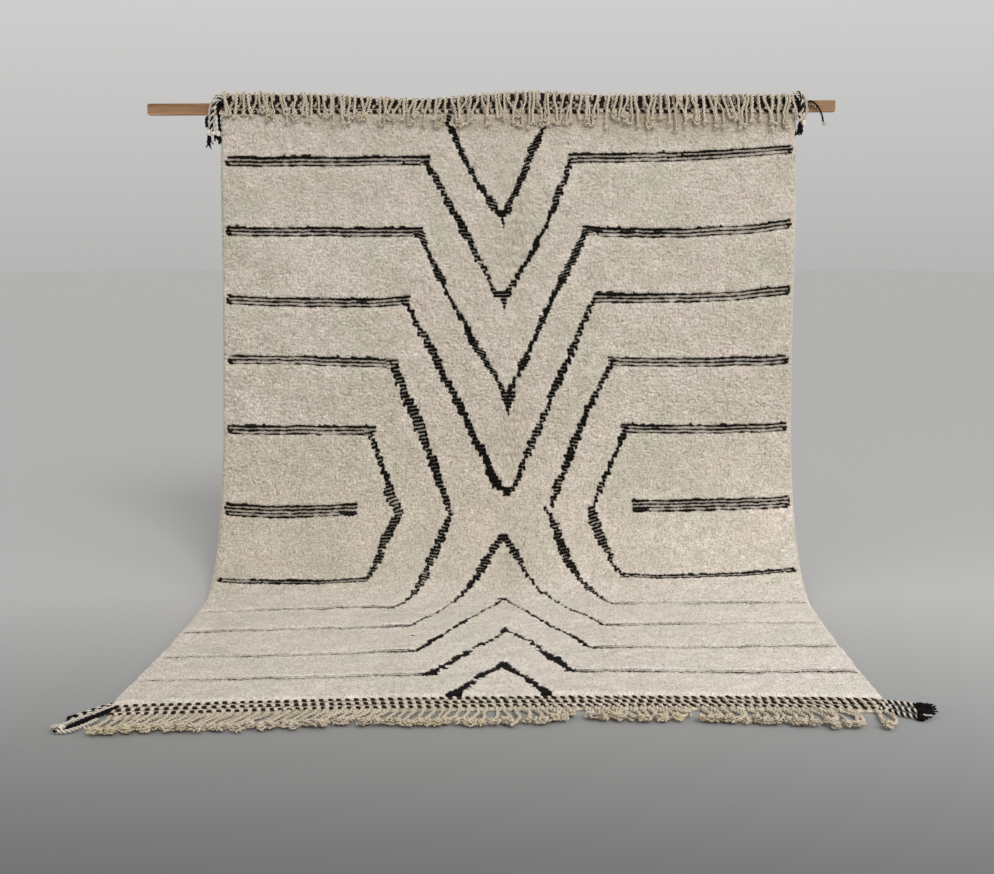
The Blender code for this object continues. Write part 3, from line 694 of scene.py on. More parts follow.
def make_pile():
    """The face of the pile, tuft by tuft, in four lengths that meet without a seam."""
    draw = np.random.default_rng(5)
    u, v = np.broadcast_arrays(ACROSS[None, :], DOWN[:, None])
    sway_u = u + (0.006 * patches(u, v, 0.034, 34) + 0.012 * patches(u, v, 0.11, 35))
    sway_v = v + (0.006 * patches(u, v, 0.030, 36) + 0.012 * patches(u, v, 0.13, 37))
    near, next_gap, tone = tufts(sway_u, sway_v, TUFT_WIDTH, TUFT_HEIGHT, 31)
    parted, combed = np.zeros(u.shape), np.zeros(u.shape)
    for spot_x, spot_v, wide, long in PARTED:
        share = np.clip(1.4 - np.hypot((u - spot_x) / wide, (v - spot_v) / long), 0, 1)
        if long > wide:
            parted = np.maximum(parted, share)
        else:
            combed = np.maximum(combed, share * 0.7)
    for mixed, width, height, seed in ((parted, 0.0085, 0.034, 32), (combed, 0.040, 0.0090, 33)):
        streak_near, streak_gap, _ = tufts(sway_u, sway_v, width, height, seed)
        near = near * (1 - mixed) + streak_near * mixed
        next_gap = next_gap * (1 - mixed) + streak_gap * mixed
    round_top = 1 - np.clip(near / 0.85, 0, 1) ** 2
    crest = np.clip(next_gap / 0.42, 0, 1)
    lying = np.interp(v, (1.2, 2.0), (0.0, 1.0))
    shaggy = np.interp(v, (0.0, 0.6, 1.0, 1.6, 1.9), (1.0, 1.10, 1.32, 1.28, 0.60))

    # How far each spot stands out of the rug's face, and where it is
    out = TUFT_RISE * (round_top - 0.62) * shaggy
    out -= PARTING_DEPTH * (1 - crest) * shaggy
    out += PATCH_RISE * (0.7 * patches(u, v, 0.16, 41) + patches(u, v, 0.050, 42)
                         + 0.6 * patches(u, v, 0.026, 43))
    out += draw.normal(0, 0.0005, u.shape)
    dark = np.clip((KNOT_LEVEL + 0.3) / 0.8, 0, 1)
    out -= (DARK_RECESS + 0.0012 * lying) * dark
    out += 0.0016 * lying * np.clip(np.roll(dark, -3, axis=0) - dark, 0, 1)
    edge = np.minimum(np.minimum(1 - np.abs(u), v), RUG_LENGTH - v)
    rim = np.clip(1 - edge / RIM_RADIUS, 0, 1)
    out -= RUG_THICKNESS * (1 - BACK_SHARE) * (1 - np.sqrt(np.maximum(0.0, 1 - rim * rim)))
    shift_u = draw.normal(0, 0.0009, u.shape) * (edge > 0.002)
    shift_v = draw.normal(0, 0.0009, u.shape) * (edge > 0.002)
    at_edge = (np.abs(u) > 0.999) * draw.normal(0, 0.0012, u.shape)
    points = rug_place(u + shift_u + at_edge, weft_along(u, v + shift_v), out)
    points[..., 2] = np.maximum(points[..., 2], FLOOR + 0.001)

    # Its tint: painted shade over the bend, worn places, painted shade under the upper band, the
    # lying part painted paler, the pile by a dark line
    # Painted shade over the bend of the rug, stronger to the left, in the crest and tone channels.
    painted_bend_shade = np.interp(v, (0.0, 0.95, 1.35, 1.64, 1.79), (0.22, 0.25, 1.0, 0.95, 0.0))
    painted_bend_shade = painted_bend_shade * (0.80 - 0.42 * u)
    # Painted light and shade on the tufts: lit crests, shaded partings, deeper on shaggy pile and
    # in parted streaks.
    painted_crest_light = 1 - 0.70 * (1 - crest * (0.55 + 0.45 * round_top)) * shaggy + 0.34 * (shaggy - 1)
    painted_crest_light += 0.18 * lying - 0.12 * parted - 0.36 * np.clip(painted_bend_shade - 0.25, 0, 1)
    worn = 0.10 * np.clip(0.5 + 0.9 * patches(u, v, 0.21, 44), 0, 1)
    worn += 0.09 * np.clip(1 - v / 1.1, 0, 1)
    # Painted shade under the upper band and its fringe, stronger to the right, carried in the worn
    # channel.
    under_band_shade = np.interp(u, (-1.0, -0.4, 0.2, 1.0), (0.30, 0.38, 0.86, 0.95))
    under_band_shade = under_band_shade * np.exp(-(v / 0.070) ** 2) * (0.80 + 0.30 * patches(u, v, 0.045, 47))
    near_rows = (-7, -4, 0, 4, 7)
    beside = sum(np.roll(dark, (down, over), (0, 1))
                 for down in near_rows for over in near_rows) / len(near_rows) ** 2
    # Painted light: the part lying on the floor is made paler, more so to the right. The hanging
    # part is made beiger towards the right.
    ivory = 0.41 - 0.28 * u * (1 - lying) - 0.30 * parted + 0.30 * np.clip(2.4 * beside, 0, 1)
    ivory += (0.62 * (tone - 0.5) + 0.34 * patches(u, v, 0.030, 45)) * shaggy
    ivory += 0.18 * patches(u, v, 0.075, 46) + (0.28 + 0.36 * u) * lying - 0.60 * painted_bend_shade
    tint = np.stack(((KNOT_LEVEL + 1) / 2.5, np.clip(painted_crest_light, 0, 1), np.clip(ivory, 0, 1),
                     np.maximum(worn * (1 - 0.6 * lying), under_band_shade)), axis=-1)
    flat = np.stack((u, v + KNOT_LEAN), axis=-1)

    # The worn colour below also paints the shade under the upper band.
    wool = wool_material(
        "ivory_pile_wool", pale=(0.860, 0.813, 0.767), beige=(0.72, 0.677, 0.615),
        dark=(0.0070, 0.0055, 0.0050), painted_shade_colour=(0.60, 0.562, 0.508), worn=(0.38, 0.31, 0.225),
        fibre_scale=300.0, curl_scale=120.0, bump_height=0.0016, fray=0.40, knot_rows=PAIR_HEIGHT,
    )
    corner = (np.arange(LENGTH_ROWS)[:, None] * (COLUMNS + 1) + np.arange(COLUMNS)[None, :]).ravel()
    below = corner + COLUMNS + 1
    faces = np.stack((corner, below, below + 1, corner + 1), axis=1).tolist()
    lengths = []
    for number in range(ROWS // LENGTH_ROWS):
        rows = slice(number * LENGTH_ROWS, (number + 1) * LENGTH_ROWS + 1)
        length = solid_piece(f"pile_length_{number + 1}", wool,
                             points[rows].reshape(-1, 3).tolist(), faces,
                             tint[rows].reshape(-1, 4), flat[rows].reshape(-1, 2))
        lengths.append(fit(length))
    return lengths


pile_lengths = make_pile()


# The side cords -----------------------------------------------------------------------------
# The rug's two long edges: a bundle of warps overcast with ivory wool, a rounded cord 9 mm
# thick. It is worked with the knots, so it follows the edge from the band to the far end.

CORD_RADIUS = 0.0046
CORD_POINTS = 520
CORD_SIDES = 6


def bundle():
    """An empty gathering of yarns that become one piece: their points, faces and tints."""
    return [], [], []


def add_to_bundle(yarns, points, faces, tints):
    """Add points, faces that count from 0, and a tint for each point."""
    start = len(yarns[0])
    yarns[0].extend(tuple(p) for p in points)
    yarns[1].extend(tuple(start + i for i in face) for face in faces)
    yarns[2].extend(tuple(t) for t in tints)


def add_tube(yarns, rings, sides, points, tints):
    """Add a tube, closed at both ends, from the points of its rings."""
    faces = []
    for i in range(0, (rings - 1) * sides, sides):
        for k in range(sides):
            j = (k + 1) % sides
            faces.append((i + k, i + j, i + sides + j, i + sides + k))
    faces.append(tuple(range(sides))[::-1])
    faces.append(tuple((rings - 1) * sides + k for k in range(sides)))
    add_to_bundle(yarns, points, faces, tints)


def unit(way):
    """A direction at length 1."""
    return way / (np.linalg.norm(way) + 1e-12)


def across_route(route):
    """Two directions square to a route at each of its points, which turn as little as they can."""
    side = np.cross(unit(route[1] - route[0]), (0.13, -0.34, 0.93))
    sides, others = [], []
    for way in np.gradient(route, axis=0):
        way = unit(way)
        side = unit(side - way * side.dot(way))
        sides.append(side)
        others.append(np.cross(way, side))
    return np.array(sides), np.array(others)


def yarn_tube(yarns, route, radius, sides, dark, tone, worn, painted_light_way=None):
    """A tube of yarn along a route. Its radius, dark and worn may change from point to point."""
    route = np.asarray(route, float)
    side, other = across_route(route)
    turns = (2 * math.pi * np.arange(sides) / sides)[None, :, None]
    way = side[:, None] * np.cos(turns) + other[:, None] * np.sin(turns)
    points = route[:, None] + way * np.reshape(radius, (-1, 1, 1))
    points[..., 2] = np.maximum(points[..., 2], FLOOR + 0.0004)
    crest = np.ones(way.shape[:2])
    # Painted light and shade: the side of the tube facing the given way is lighter, the far side
    # darker.
    if painted_light_way is not None:
        crest = 0.5 + 0.5 * np.einsum("ika,ia->ik", way, painted_light_way)
    tints = np.broadcast_arrays(np.reshape(dark, (-1, 1)), crest, tone, np.reshape(worn, (-1, 1)))
    add_tube(yarns, len(route), sides, points.reshape(-1, 3), np.stack(tints, -1).reshape(-1, 4))


def make_side_cords():
    """Both overcast edges in one piece."""
    wool = wool_material(
        "overcast_edge_wool", pale=(0.82, 0.77, 0.69), beige=(0.70, 0.65, 0.56),
        dark=(0.020, 0.016, 0.013), painted_shade_colour=(0.42, 0.37, 0.30), worn=(0.42, 0.36, 0.27),
        fibre_scale=380.0, curl_scale=190.0, bump_height=0.0012,
    )
    yarns = bundle()
    for side in (-1, 1):
        along = weft_along(side, np.linspace(0.004, RUG_LENGTH - 0.004, CORD_POINTS))
        middle = rug_place(side * 0.998, along, -RUG_THICKNESS * 0.74)
        middle[:, 2] = np.maximum(middle[:, 2], FLOOR + 0.0052)
        wrap = CORD_RADIUS + 0.0006 * np.sin(np.arange(CORD_POINTS) * math.pi * 0.9)
        yarn_tube(yarns, middle, wrap, CORD_SIDES, 0.0, 0.5 + 0.1 * side, 0.1)
    return solid_piece("side_cords", wool, *yarns)


side_cords = fit(make_side_cords())


# The end bands ------------------------------------------------------------------------------
# A narrow strip of plain weave at each end of the rug, with rows of twining across it: pairs of
# thick yarns, one dark and one ivory, crossed between the warps. The upper one lies on the batten.

BAND_THICKNESS = 0.006
TOP_BAND_HEIGHT = 0.068
TOP_BAND_END = 0.986
END_BAND_DEPTH = 0.085
END_BAND_END = 1.009
WARPS = 80
RIB_STEPS = 6
TOP_PITCH = 0.0262
END_PITCH = 0.0230

# The twined rows: distance from the pile, half the height of its stitches, share of the pitch
# that is dark, thickness, shift along the band in pitches, and painted shade on the ivory yarn:
# how far it is darkened towards the dark yarn.
TOP_TWINES = (
    (0.0095, 0.0072, 0.60, 0.0042, 0.0, 0.22),
    (0.0290, 0.0068, 0.62, 0.0040, 0.35, 0.45),
    (0.0540, 0.0120, 0.60, 0.0046, 0.75, 0.42),
)
END_TWINES = (
    (0.008, 0.0068, 0.56, 0.0070, 0.0, 0.0),
    (0.034, 0.0070, 0.55, 0.0072, 0.5, 0.0),
    (0.060, 0.0073, 0.54, 0.0070, 0.0, 0.0),
)
# The upper band's free edge: place across, how much higher than the band's height
TOP_EDGE_WAVE = ((-0.99, 0.001), (-0.70, 0.000), (-0.32, -0.018), (0.08, 0.006), (0.38, -0.005),
                 (0.99, -0.005))


def table_value(table, place, column=1):
    """Read a column of a table at a place, easing smoothly from one row to the next."""
    if place <= table[0][0]:
        return table[0][column]
    for before, after in zip(table, table[1:]):
        if place <= after[0]:
            eased = ease((place - before[0]) / (after[0] - before[0]))
            return before[column] + (after[column] - before[column]) * eased
    return table[-1][column]


def on_top_band(x, rise, out):
    """A point on the upper band: rise above the pile's edge, out in front of the batten's face."""
    share = min(1.0, max(0.0, rise / TOP_BAND_HEIGHT))
    stretch = 1 + table_value(TOP_EDGE_WAVE, x) / TOP_BAND_HEIGHT * share
    return (x, -(ROD_DEPTH + GAP) - out, PILE_TOP + GAP + rise * stretch)


def on_end_band(x, away, out):
    """A point on the lower band, which slopes off the rug's thick end: away from the pile, out
    above the band's underside."""
    across = min(1.02, max(-1.02, x / 1.01))
    inner = float(np.interp(weft_along(across, RUG_LENGTH), DRAPE[0], DRAPE[1])) - GAP
    slope = 0.0065 * min(1.0, max(0.0, 1 - away / END_BAND_DEPTH))
    return (x, inner - away, FLOOR + out + slope * (out > 0.001))


def add_stitch(yarns, spot_of, x, height, half_length, half_height, thickness, slant, dark, tone):
    """One twined stitch: a plump lozenge of yarn lying over the band."""
    rings, sides = 6, 7
    points, tints = [], []
    for i in range(rings):
        share = -1 + 2 * i / (rings - 1)
        swell = max(0.12, 1 - abs(share) ** 3.5) ** 0.6
        along = share * half_length
        for k in range(sides):
            turn = 2 * math.pi * k / sides
            up = math.cos(turn) * half_height * swell
            front = 0.5 + 0.5 * math.sin(turn)
            points.append(spot_of(x + along, height + up + along * slant,
                                  BAND_THICKNESS * 0.35 + thickness * front * swell))
            # Painted shade on the back and the narrow ends of the stitch.
            tints.append((dark, 0.25 + 0.75 * front * swell, tone, 0.0))
    add_tube(yarns, rings, sides, points, tints)


def add_band_weave(yarns, spot_of, depth, end, ground):
    """The strip of plain weave: warps as low ribs, closed all round."""
    columns, levels = WARPS * RIB_STEPS, 9
    across = columns + 1
    size = (levels + 1) * across
    points, tints, faces = [], [], []
    for face in (1, 0):
        for i in range(levels + 1):
            for j, x in enumerate(np.linspace(-end, end, across)):
                rib = 0.5 + 0.5 * math.cos(j / RIB_STEPS * 2 * math.pi)
                out = BAND_THICKNESS * 0.5 + 0.0012 * rib if face else 0.0004
                points.append(spot_of(x, depth * i / levels, out))
                # Painted shade in the grooves between the warp ribs.
                tints.append((ground(x, depth * i / levels), 0.35 + 0.65 * rib, 0.4, 0.1))
    for i in range(levels):
        for a in range(i * across, i * across + columns):
            b = a + across
            faces.append((a, a + 1, b + 1, b))
            faces.append((size + a, size + b, size + b + 1, size + a + 1))
    rim = []
    for a in range(columns):
        b = levels * across + a
        rim += [(a + 1, a), (b, b + 1)]
    for a in range(0, levels * across, across):
        b = a + across
        rim += [(a, b), (b + columns, a + columns)]
    faces += [(a, b, size + b, size + a) for a, b in rim]
    add_to_bundle(yarns, points, faces, tints)


TWINED_WOOL = wool_material(
    "twined_band_wool", pale=(0.88, 0.82, 0.72), beige=(0.72, 0.65, 0.54),
    dark=(0.030, 0.020, 0.017), painted_shade_colour=(0.30, 0.25, 0.20), worn=(0.40, 0.33, 0.24),
    fibre_scale=420.0, curl_scale=260.0, bump_height=0.0008, fray=0.25,
)


def make_band(name, spot_of, depth, end, twines, twine_pitch, seed, ground, slant_of):
    """One band: the weave, then its twined rows, stitch by stitch."""
    draw = random.Random(seed)
    yarns = bundle()
    add_band_weave(yarns, spot_of, depth, end, ground)
    # The last value darkens a row's ivory stitches towards the dark yarn, as painted shade.
    for row, (height, half_height, dark_share, thickness, shift, brown) in enumerate(twines):
        x = -end + twine_pitch * (0.3 + shift)
        while x < end - 0.012:
            pitch = twine_pitch * draw.uniform(0.90, 1.10)
            for dark, share, place, size in ((1.0, dark_share, 0.0, 1.0),
                                             (brown, 1 - dark_share, 0.5, 0.86)):
                add_stitch(yarns, spot_of, x + pitch * place,
                           height + draw.uniform(-0.0012, 0.0012), pitch * (share / 2 + 0.10),
                           half_height * draw.uniform(0.82, 1.12) * size,
                           thickness * draw.uniform(0.85, 1.10),
                           slant_of(row, x) * draw.uniform(0.6, 1.3), dark, draw.uniform(0.2, 0.9))
            x += pitch
    return solid_piece(name, TWINED_WOOL, *yarns)


def top_ground(x, rise):
    """The upper band's ground: dark brown between the twined rows, darkened further as painted
    shade under the fringe, beige next to the pile.
    """
    return 0.70 if 0.016 < rise < 0.067 and math.sin(x * 240) > -0.5 else 0.30


top_band = fit(make_band(
    "twined_top_band", on_top_band, TOP_BAND_HEIGHT, TOP_BAND_END, TOP_TWINES, TOP_PITCH, 11,
    top_ground, lambda row, x: 0.22 if row % 2 else -0.22,
), "top_band")
end_band = fit(make_band(
    "twined_end_band", on_end_band, END_BAND_DEPTH, END_BAND_END, END_TWINES, END_PITCH, 12,
    lambda x, away: 0.0, lambda row, x: min(0.85, max(0.12, 0.55 + 0.55 * x)),
), "end_band")


# The fringe ---------------------------------------------------------------------------------
# The warps' ends, gathered in twos and threes past each band into twisted strands of beige wool
# about 10 mm thick. Their tips have come undone into curly tufts, yellower than the strands.

TOP_STRANDS = 100
END_STRANDS = 86
PLY_REACH = 0.27
PLY_SHARE = 0.56
# Places across where the lower fringe has a gap
END_GAPS = ((0.925, 0.955), (0.179, 0.203), (0.486, 0.510))

# The fringe in front of the upper band: place across, fall from the band's upper edge, drift of
# the tips to the right.
TOP_FRINGE = (
    (-0.99, 0.07, 0), (-0.7, 0.085, 0.012), (-0.4, 0.095, -0.016), (-0.1, 0.1, 0.01),
    (0.2, 0.095, -0.012), (0.6, 0.105, 0.014), (0.99, 0.11, 0.006),
)
# The fringe on the floor: place across, length, heading in degrees to the right, bow.
END_FRINGE = (
    (-1.01, 0.115, -12.0, 0), (-0.84, 0.13, -27.0, 0.004), (-0.6, 0.15, -36.0, 0.008),
    (-0.35, 0.12, -26.0, 0.004), (-0.1, 0.12, -12.0, 0.004), (0.08, 0.115, 4.0, 0.012),
    (0.15, 0.09, 6.0, 0.014), (0.19, 0.042, 6.0, 0.006), (0.23, 0.08, 2.0, 0.014),
    (0.36, 0.09, -6.0, 0.018), (0.45, 0.095, -4.0, 0.018), (0.495, 0.04, -10.0, 0.006),
    (0.54, 0.1, -12.0, 0.022), (0.7, 0.11, -10.0, 0.024), (0.93, 0.135, 0, 0.026),
    (0.96, 0.13, 4.0, -0.016), (1.01, 0.13, -8.0, 0.02),
)


def smooth_route(points, pieces):
    """Points spread evenly in number over a smooth curve through the given points."""
    points = [np.asarray(p, float) for p in points]
    ends = [points[0] * 2 - points[1]] + points + [points[-1] * 2 - points[-2]]
    spans = len(points) - 1
    route = []
    for i in range(pieces + 1):
        place = min(i / pieces * spans, spans - 1e-6)
        k = int(place)
        t = place - k
        a, b, c, d = ends[k:k + 4]
        route.append(0.5 * (2 * b + (c - a) * t + (2 * a - 5 * b + 4 * c - d) * t * t
                            + (3 * b - 3 * c + d - a) * t * t * t))
    return np.array(route)


def twisted_strand(yarns, route, thickness, plies, lay_length, tone, worn):
    """Two plies laid round each other along a route. Each is its share of dark wool, 0 or 1."""
    route = np.asarray(route, float)
    thickness = np.broadcast_to(np.asarray(thickness, float), (len(route),))
    side, other = across_route(route)
    run = np.concatenate(([0.0], np.cumsum(np.linalg.norm(np.diff(route, axis=0), axis=1))))
    for number, dark in enumerate(plies):
        turn = (2 * math.pi * (run / lay_length + number / len(plies)))[:, None]
        way = side * np.cos(turn) + other * np.sin(turn)
        # Painted shade on the inner sides of the plies, where they press together.
        yarn_tube(yarns, route + way * thickness[:, None] * PLY_REACH, thickness * 0.5 * PLY_SHARE,
                  5, dark, tone, worn, painted_light_way=way)


def curly_tuft(yarns, tip, ahead, flat_axis, draw, count, length, thickness, dark, tone, worn,
               lowest=None, opening=0.9, curl_size=1.0):
    """The undone end of a strand: thin curled yarns that spread from its tip."""
    tip, ahead, flat_axis = (np.asarray(v, float) for v in (tip, ahead, flat_axis))
    sideways = np.cross(ahead, flat_axis)
    for k in range(count):
        spread_out = (k / max(1, count - 1) - 0.5) * 2.0 * draw.uniform(0.6, 1.2)
        way = unit(ahead + sideways * spread_out * opening)
        cross = np.cross(way, flat_axis)
        curl = draw.uniform(0.0030, 0.0062) * curl_size
        turns = draw.uniform(0.8, 1.8) * draw.choice((-1, 1))
        phase = draw.uniform(0, 6.28)
        reach = length * draw.uniform(0.55, 1.1)
        route = []
        for share in np.linspace(0, 1, 8):
            spin = phase + turns * 2 * math.pi * share
            lift = curl * 0.4 * (1 - math.cos(spin - phase)) + draw.uniform(0, 0.0015)
            swing = curl * (math.sin(spin) - math.sin(phase)) * share ** 0.5
            route.append(tip + way * reach * share + cross * swing + flat_axis * lift)
        route = np.array(route)
        if lowest is not None:
            route[:, 2] = np.maximum(route[:, 2], lowest + thickness * 0.5)
        # Painted light on the side of each curl that faces the flat axis, painted shade on the
        # other.
        yarn_tube(yarns, route, np.linspace(thickness * 0.55, thickness * 0.30, 8), 4, dark,
                  tone + draw.uniform(-0.25, 0.2), worn, painted_light_way=[flat_axis] * 8)


FRINGE_WOOL = wool_material(
    "warp_fringe_wool", pale=(0.90, 0.83, 0.725), beige=(0.75, 0.67, 0.55),
    dark=(0.016, 0.013, 0.012), painted_shade_colour=(0.30, 0.24, 0.19), worn=(0.66, 0.555, 0.36),
    fibre_scale=520.0, curl_scale=300.0, bump_height=0.0007, fray=0.0,
)


def make_top_fringe():
    """The upper fringe: strands that rise off the band's edge and flop forward over it."""
    draw = random.Random(71)
    yarns = bundle()
    pitch = 2 * TOP_BAND_END / TOP_STRANDS
    top = TOP_BAND_HEIGHT
    for number in range(TOP_STRANDS):
        x = -TOP_BAND_END + pitch * (number + 0.5) + draw.uniform(-0.008, 0.008)
        x = min(TOP_BAND_END - 0.006, max(0.006 - TOP_BAND_END, x))
        lock = float(wander(x, 0.13, 701)) + 0.4 * float(wander(x, 0.055, 702))
        fall = table_value(TOP_FRINGE, x, 1) * draw.uniform(0.74, 1.12)
        slant = table_value(TOP_FRINGE, x, 2) + 0.011 * lock + draw.gauss(0, 0.006)
        swing = draw.gauss(0, 0.005)
        thickness = draw.uniform(0.0090, 0.0122)
        layer = draw.uniform(0.0, 0.006)
        lifted = draw.uniform(0.000, 0.004) + (0.008 if x < -0.84 and number % 3 == 0 else 0.0)
        # Rise above the pile's edge, out in front of the batten, share of the slant
        path = [
            (top - 0.012, 0.0045, 0.0), (top, 0.0050, 0.0), (top + lifted, 0.0090, 0.03),
            (top + lifted * 0.6, 0.0140, 0.10), (top - 0.012, 0.0165 + layer, 0.30),
            (top - 0.030, 0.0170 + layer, 0.50), (top - 0.050, 0.0190 + layer, 0.72),
        ]
        for share in (0.5, 1.0):
            rise = top - 0.050 + (0.050 - fall) * share
            path.append((rise, 0.0265 + layer * 0.6 if rise < 0.004 else 0.0200 + layer,
                         0.72 + 0.28 * share))
        route = []
        for rise, out, share in path:
            bend = swing * math.sin(math.pi * share * 1.6) + draw.gauss(0, 0.0012) * share
            route.append(np.array(on_top_band(x + slant * share + bend, rise, out)))
        if draw.random() < 0.42:
            hook = draw.choice((-1, 1)) * draw.uniform(0.009, 0.016)
            route.append(route[-1] + (hook * 0.6, -0.001, -0.004))
            route.append(route[-1] + (hook * 0.55, -0.001, 0.006))
            if draw.random() < 0.5:
                route.append(route[-1] + (-hook * 0.2, -0.002, 0.008))
        route = smooth_route(route, 22)
        tone = draw.uniform(0.35, 1.0)
        twisted_strand(yarns, route, thickness, (0, 0), 0.022, tone, draw.uniform(0.0, 0.12))
        yellow = 0.75 if 0.49 < x < 0.60 else draw.uniform(0.05, 0.4)
        curly_tuft(yarns, route[-1], unit(route[-1] - route[-2]), (0, -1, 0), draw, 5, 0.015,
                   0.0048, 0.0, tone, yellow)
    return solid_piece("top_fringe", FRINGE_WOOL, *yarns)


def make_end_fringe():
    """The lower fringe: strands that lie on the floor, with their bushy tips."""
    draw = random.Random(72)
    yarns = bundle()
    pitch = 2 * END_BAND_END / END_STRANDS
    for number in range(END_STRANDS):
        x = -END_BAND_END + pitch * (number + 0.5) + draw.uniform(-0.003, 0.003)
        if any(start < x < stop for start, stop in END_GAPS):
            continue
        length = table_value(END_FRINGE, x, 1) * draw.uniform(0.86, 1.06)
        heading = math.radians(table_value(END_FRINGE, x, 2) + draw.uniform(-5, 5))
        bow = table_value(END_FRINGE, x, 3) + draw.gauss(0, 0.003)
        thickness = draw.uniform(0.0105, 0.0135)
        way = np.array((math.sin(heading), -math.cos(heading), 0.0))
        cross = np.array((-way[1], way[0], 0.0))
        body = max(0.028, length - 0.008)
        route = [np.array(on_end_band(x, 0.069, 0.0050)), np.array(on_end_band(x, 0.079, 0.0064)),
                 np.array(on_end_band(x, 0.094, 0.0)) + (0, 0, thickness * 0.5)]
        for share in (0.3, 0.55, 0.8, 1.0):
            spot = np.array(on_end_band(x, 0.088, 0.0)) + way * body * share
            spot = spot + cross * (bow * math.sin(math.pi * share) + draw.gauss(0, 0.0022))
            spot[2] = FLOOR + thickness * 0.52 + draw.uniform(0, 0.0015)
            route.append(spot)
        route = smooth_route(route, 18)
        tone = draw.uniform(0.45, 1.0)
        swell = thickness * np.clip(np.linspace(0.62, 1.6, 19), 0, 1)
        twisted_strand(yarns, route, swell, (0, 0), 0.026, tone, np.linspace(0.0, 0.25, 19))
        ahead = unit(route[-1] - route[-2])
        bushy = 1.0 if x < 0.15 else 0.85
        yellow = 0.20 + 0.25 * float(wander(x, 0.16, 703))
        for back, count, reach, lift in ((0.002, 6, 0.023, 0.0), (0.004, 5, 0.021, 0.0045),
                                         (0.000, 3, 0.017, 0.008)):
            curly_tuft(yarns, route[-1] - ahead * back + (0, 0, lift), ahead, (0, 0, 1), draw,
                       count, reach * bushy, 0.0070, 0.0, tone - draw.uniform(0.0, 0.4),
                       yellow + draw.uniform(-0.15, 0.30), lowest=FLOOR + lift * 0.8,
                       curl_size=1.45)
    return solid_piece("end_fringe", FRINGE_WOOL, *yarns)


fringes = [fit(make_top_fringe()), fit(make_end_fringe())]


# The corner tails ---------------------------------------------------------------------------
# Each band's twining yarns run on past the rug's edge as cords of one dark and one ivory ply,
# knotted together near the end, with a short brush of loose dark and ivory wool.

BRAID_WOOL = wool_material(
    "braided_tail_wool", pale=(0.88, 0.84, 0.77), beige=(0.74, 0.68, 0.58),
    dark=(0.0065, 0.0055, 0.0055), painted_shade_colour=(0.30, 0.26, 0.22), worn=(0.42, 0.35, 0.24),
    fibre_scale=520.0, curl_scale=300.0, bump_height=0.0007, fray=0.0,
)
HANGS_OUT = 0.007
LIES_UP = 0.0075
BRUSH_YARN = 0.0074
DOWNWARD = (0, 0, -1)
TO_ROOM = (0, -1, 0)
UPWARD = (0, 0, 1)


def hung(across, height, out=0):
    """A spot beside the upper band, in front of the batten, from millimetres."""
    return (across / 1000, -(ROD_DEPTH + GAP) - HANGS_OUT - out / 1000, height / 1000)


def laid(across, forward, lift=0):
    """A spot on the floor beyond the lower band, from millimetres."""
    return (across / 1000, forward / 1000, FLOOR + LIES_UP + lift / 1000)


def add_knot(yarns, centre, ahead, radius, dark):
    """A pulled knot: three turns of yarn round the cords."""
    ahead = unit(np.asarray(ahead, float))
    side = unit(np.cross(ahead, (0.2, 0.5, 0.84)))
    other = np.cross(ahead, side)
    for turn_at, size in ((-0.55, 0.86), (0.0, 1.0), (0.55, 0.86)):
        ring = []
        for k in range(12):
            turn = 2 * math.pi * k / 10
            round_it = (side * math.cos(turn) + other * math.sin(turn)) * radius * 0.62 * size
            ring.append(centre + ahead * (radius * turn_at + 0.001 * math.sin(k * 1.3)) + round_it)
        yarn_tube(yarns, ring, radius * 0.42, 5, dark, 0.9, 0.0)


def make_tail(name, spot_of, cords, knots, brushes, seed, floor=None):
    """One tail, in millimetres. Cords are (spots, thickness, plies, lay), knots (spot, ahead,
    radius, dark), and brushes (spot, ahead, flat axis, count, length, dark, opening)."""
    draw = random.Random(seed)
    yarns = bundle()
    for spots, thickness, plies, lay_length in cords:
        line = smooth_route([spot_of(*spot) for spot in spots], 26)
        if floor is not None:
            line[:, 2] = np.maximum(line[:, 2], floor + thickness / 2000)
        twisted_strand(yarns, line, thickness / 1000, plies, lay_length / 1000,
                       draw.uniform(0.6, 1.0), 0.0)
    for spot, ahead, radius, dark in knots:
        add_knot(yarns, spot_of(*spot), ahead, radius / 1000, dark)
    for spot, ahead, axis, count, length, dark, opening in brushes:
        curly_tuft(yarns, spot_of(*spot), unit(np.asarray(ahead, float)), axis, draw, count,
                   length / 1000, BRUSH_YARN, dark, 0.8, 0.1, lowest=floor, opening=opening,
                   curl_size=0.6)
    return fit(solid_piece(f"braided_{name}", BRAID_WOOL, *yarns), name)


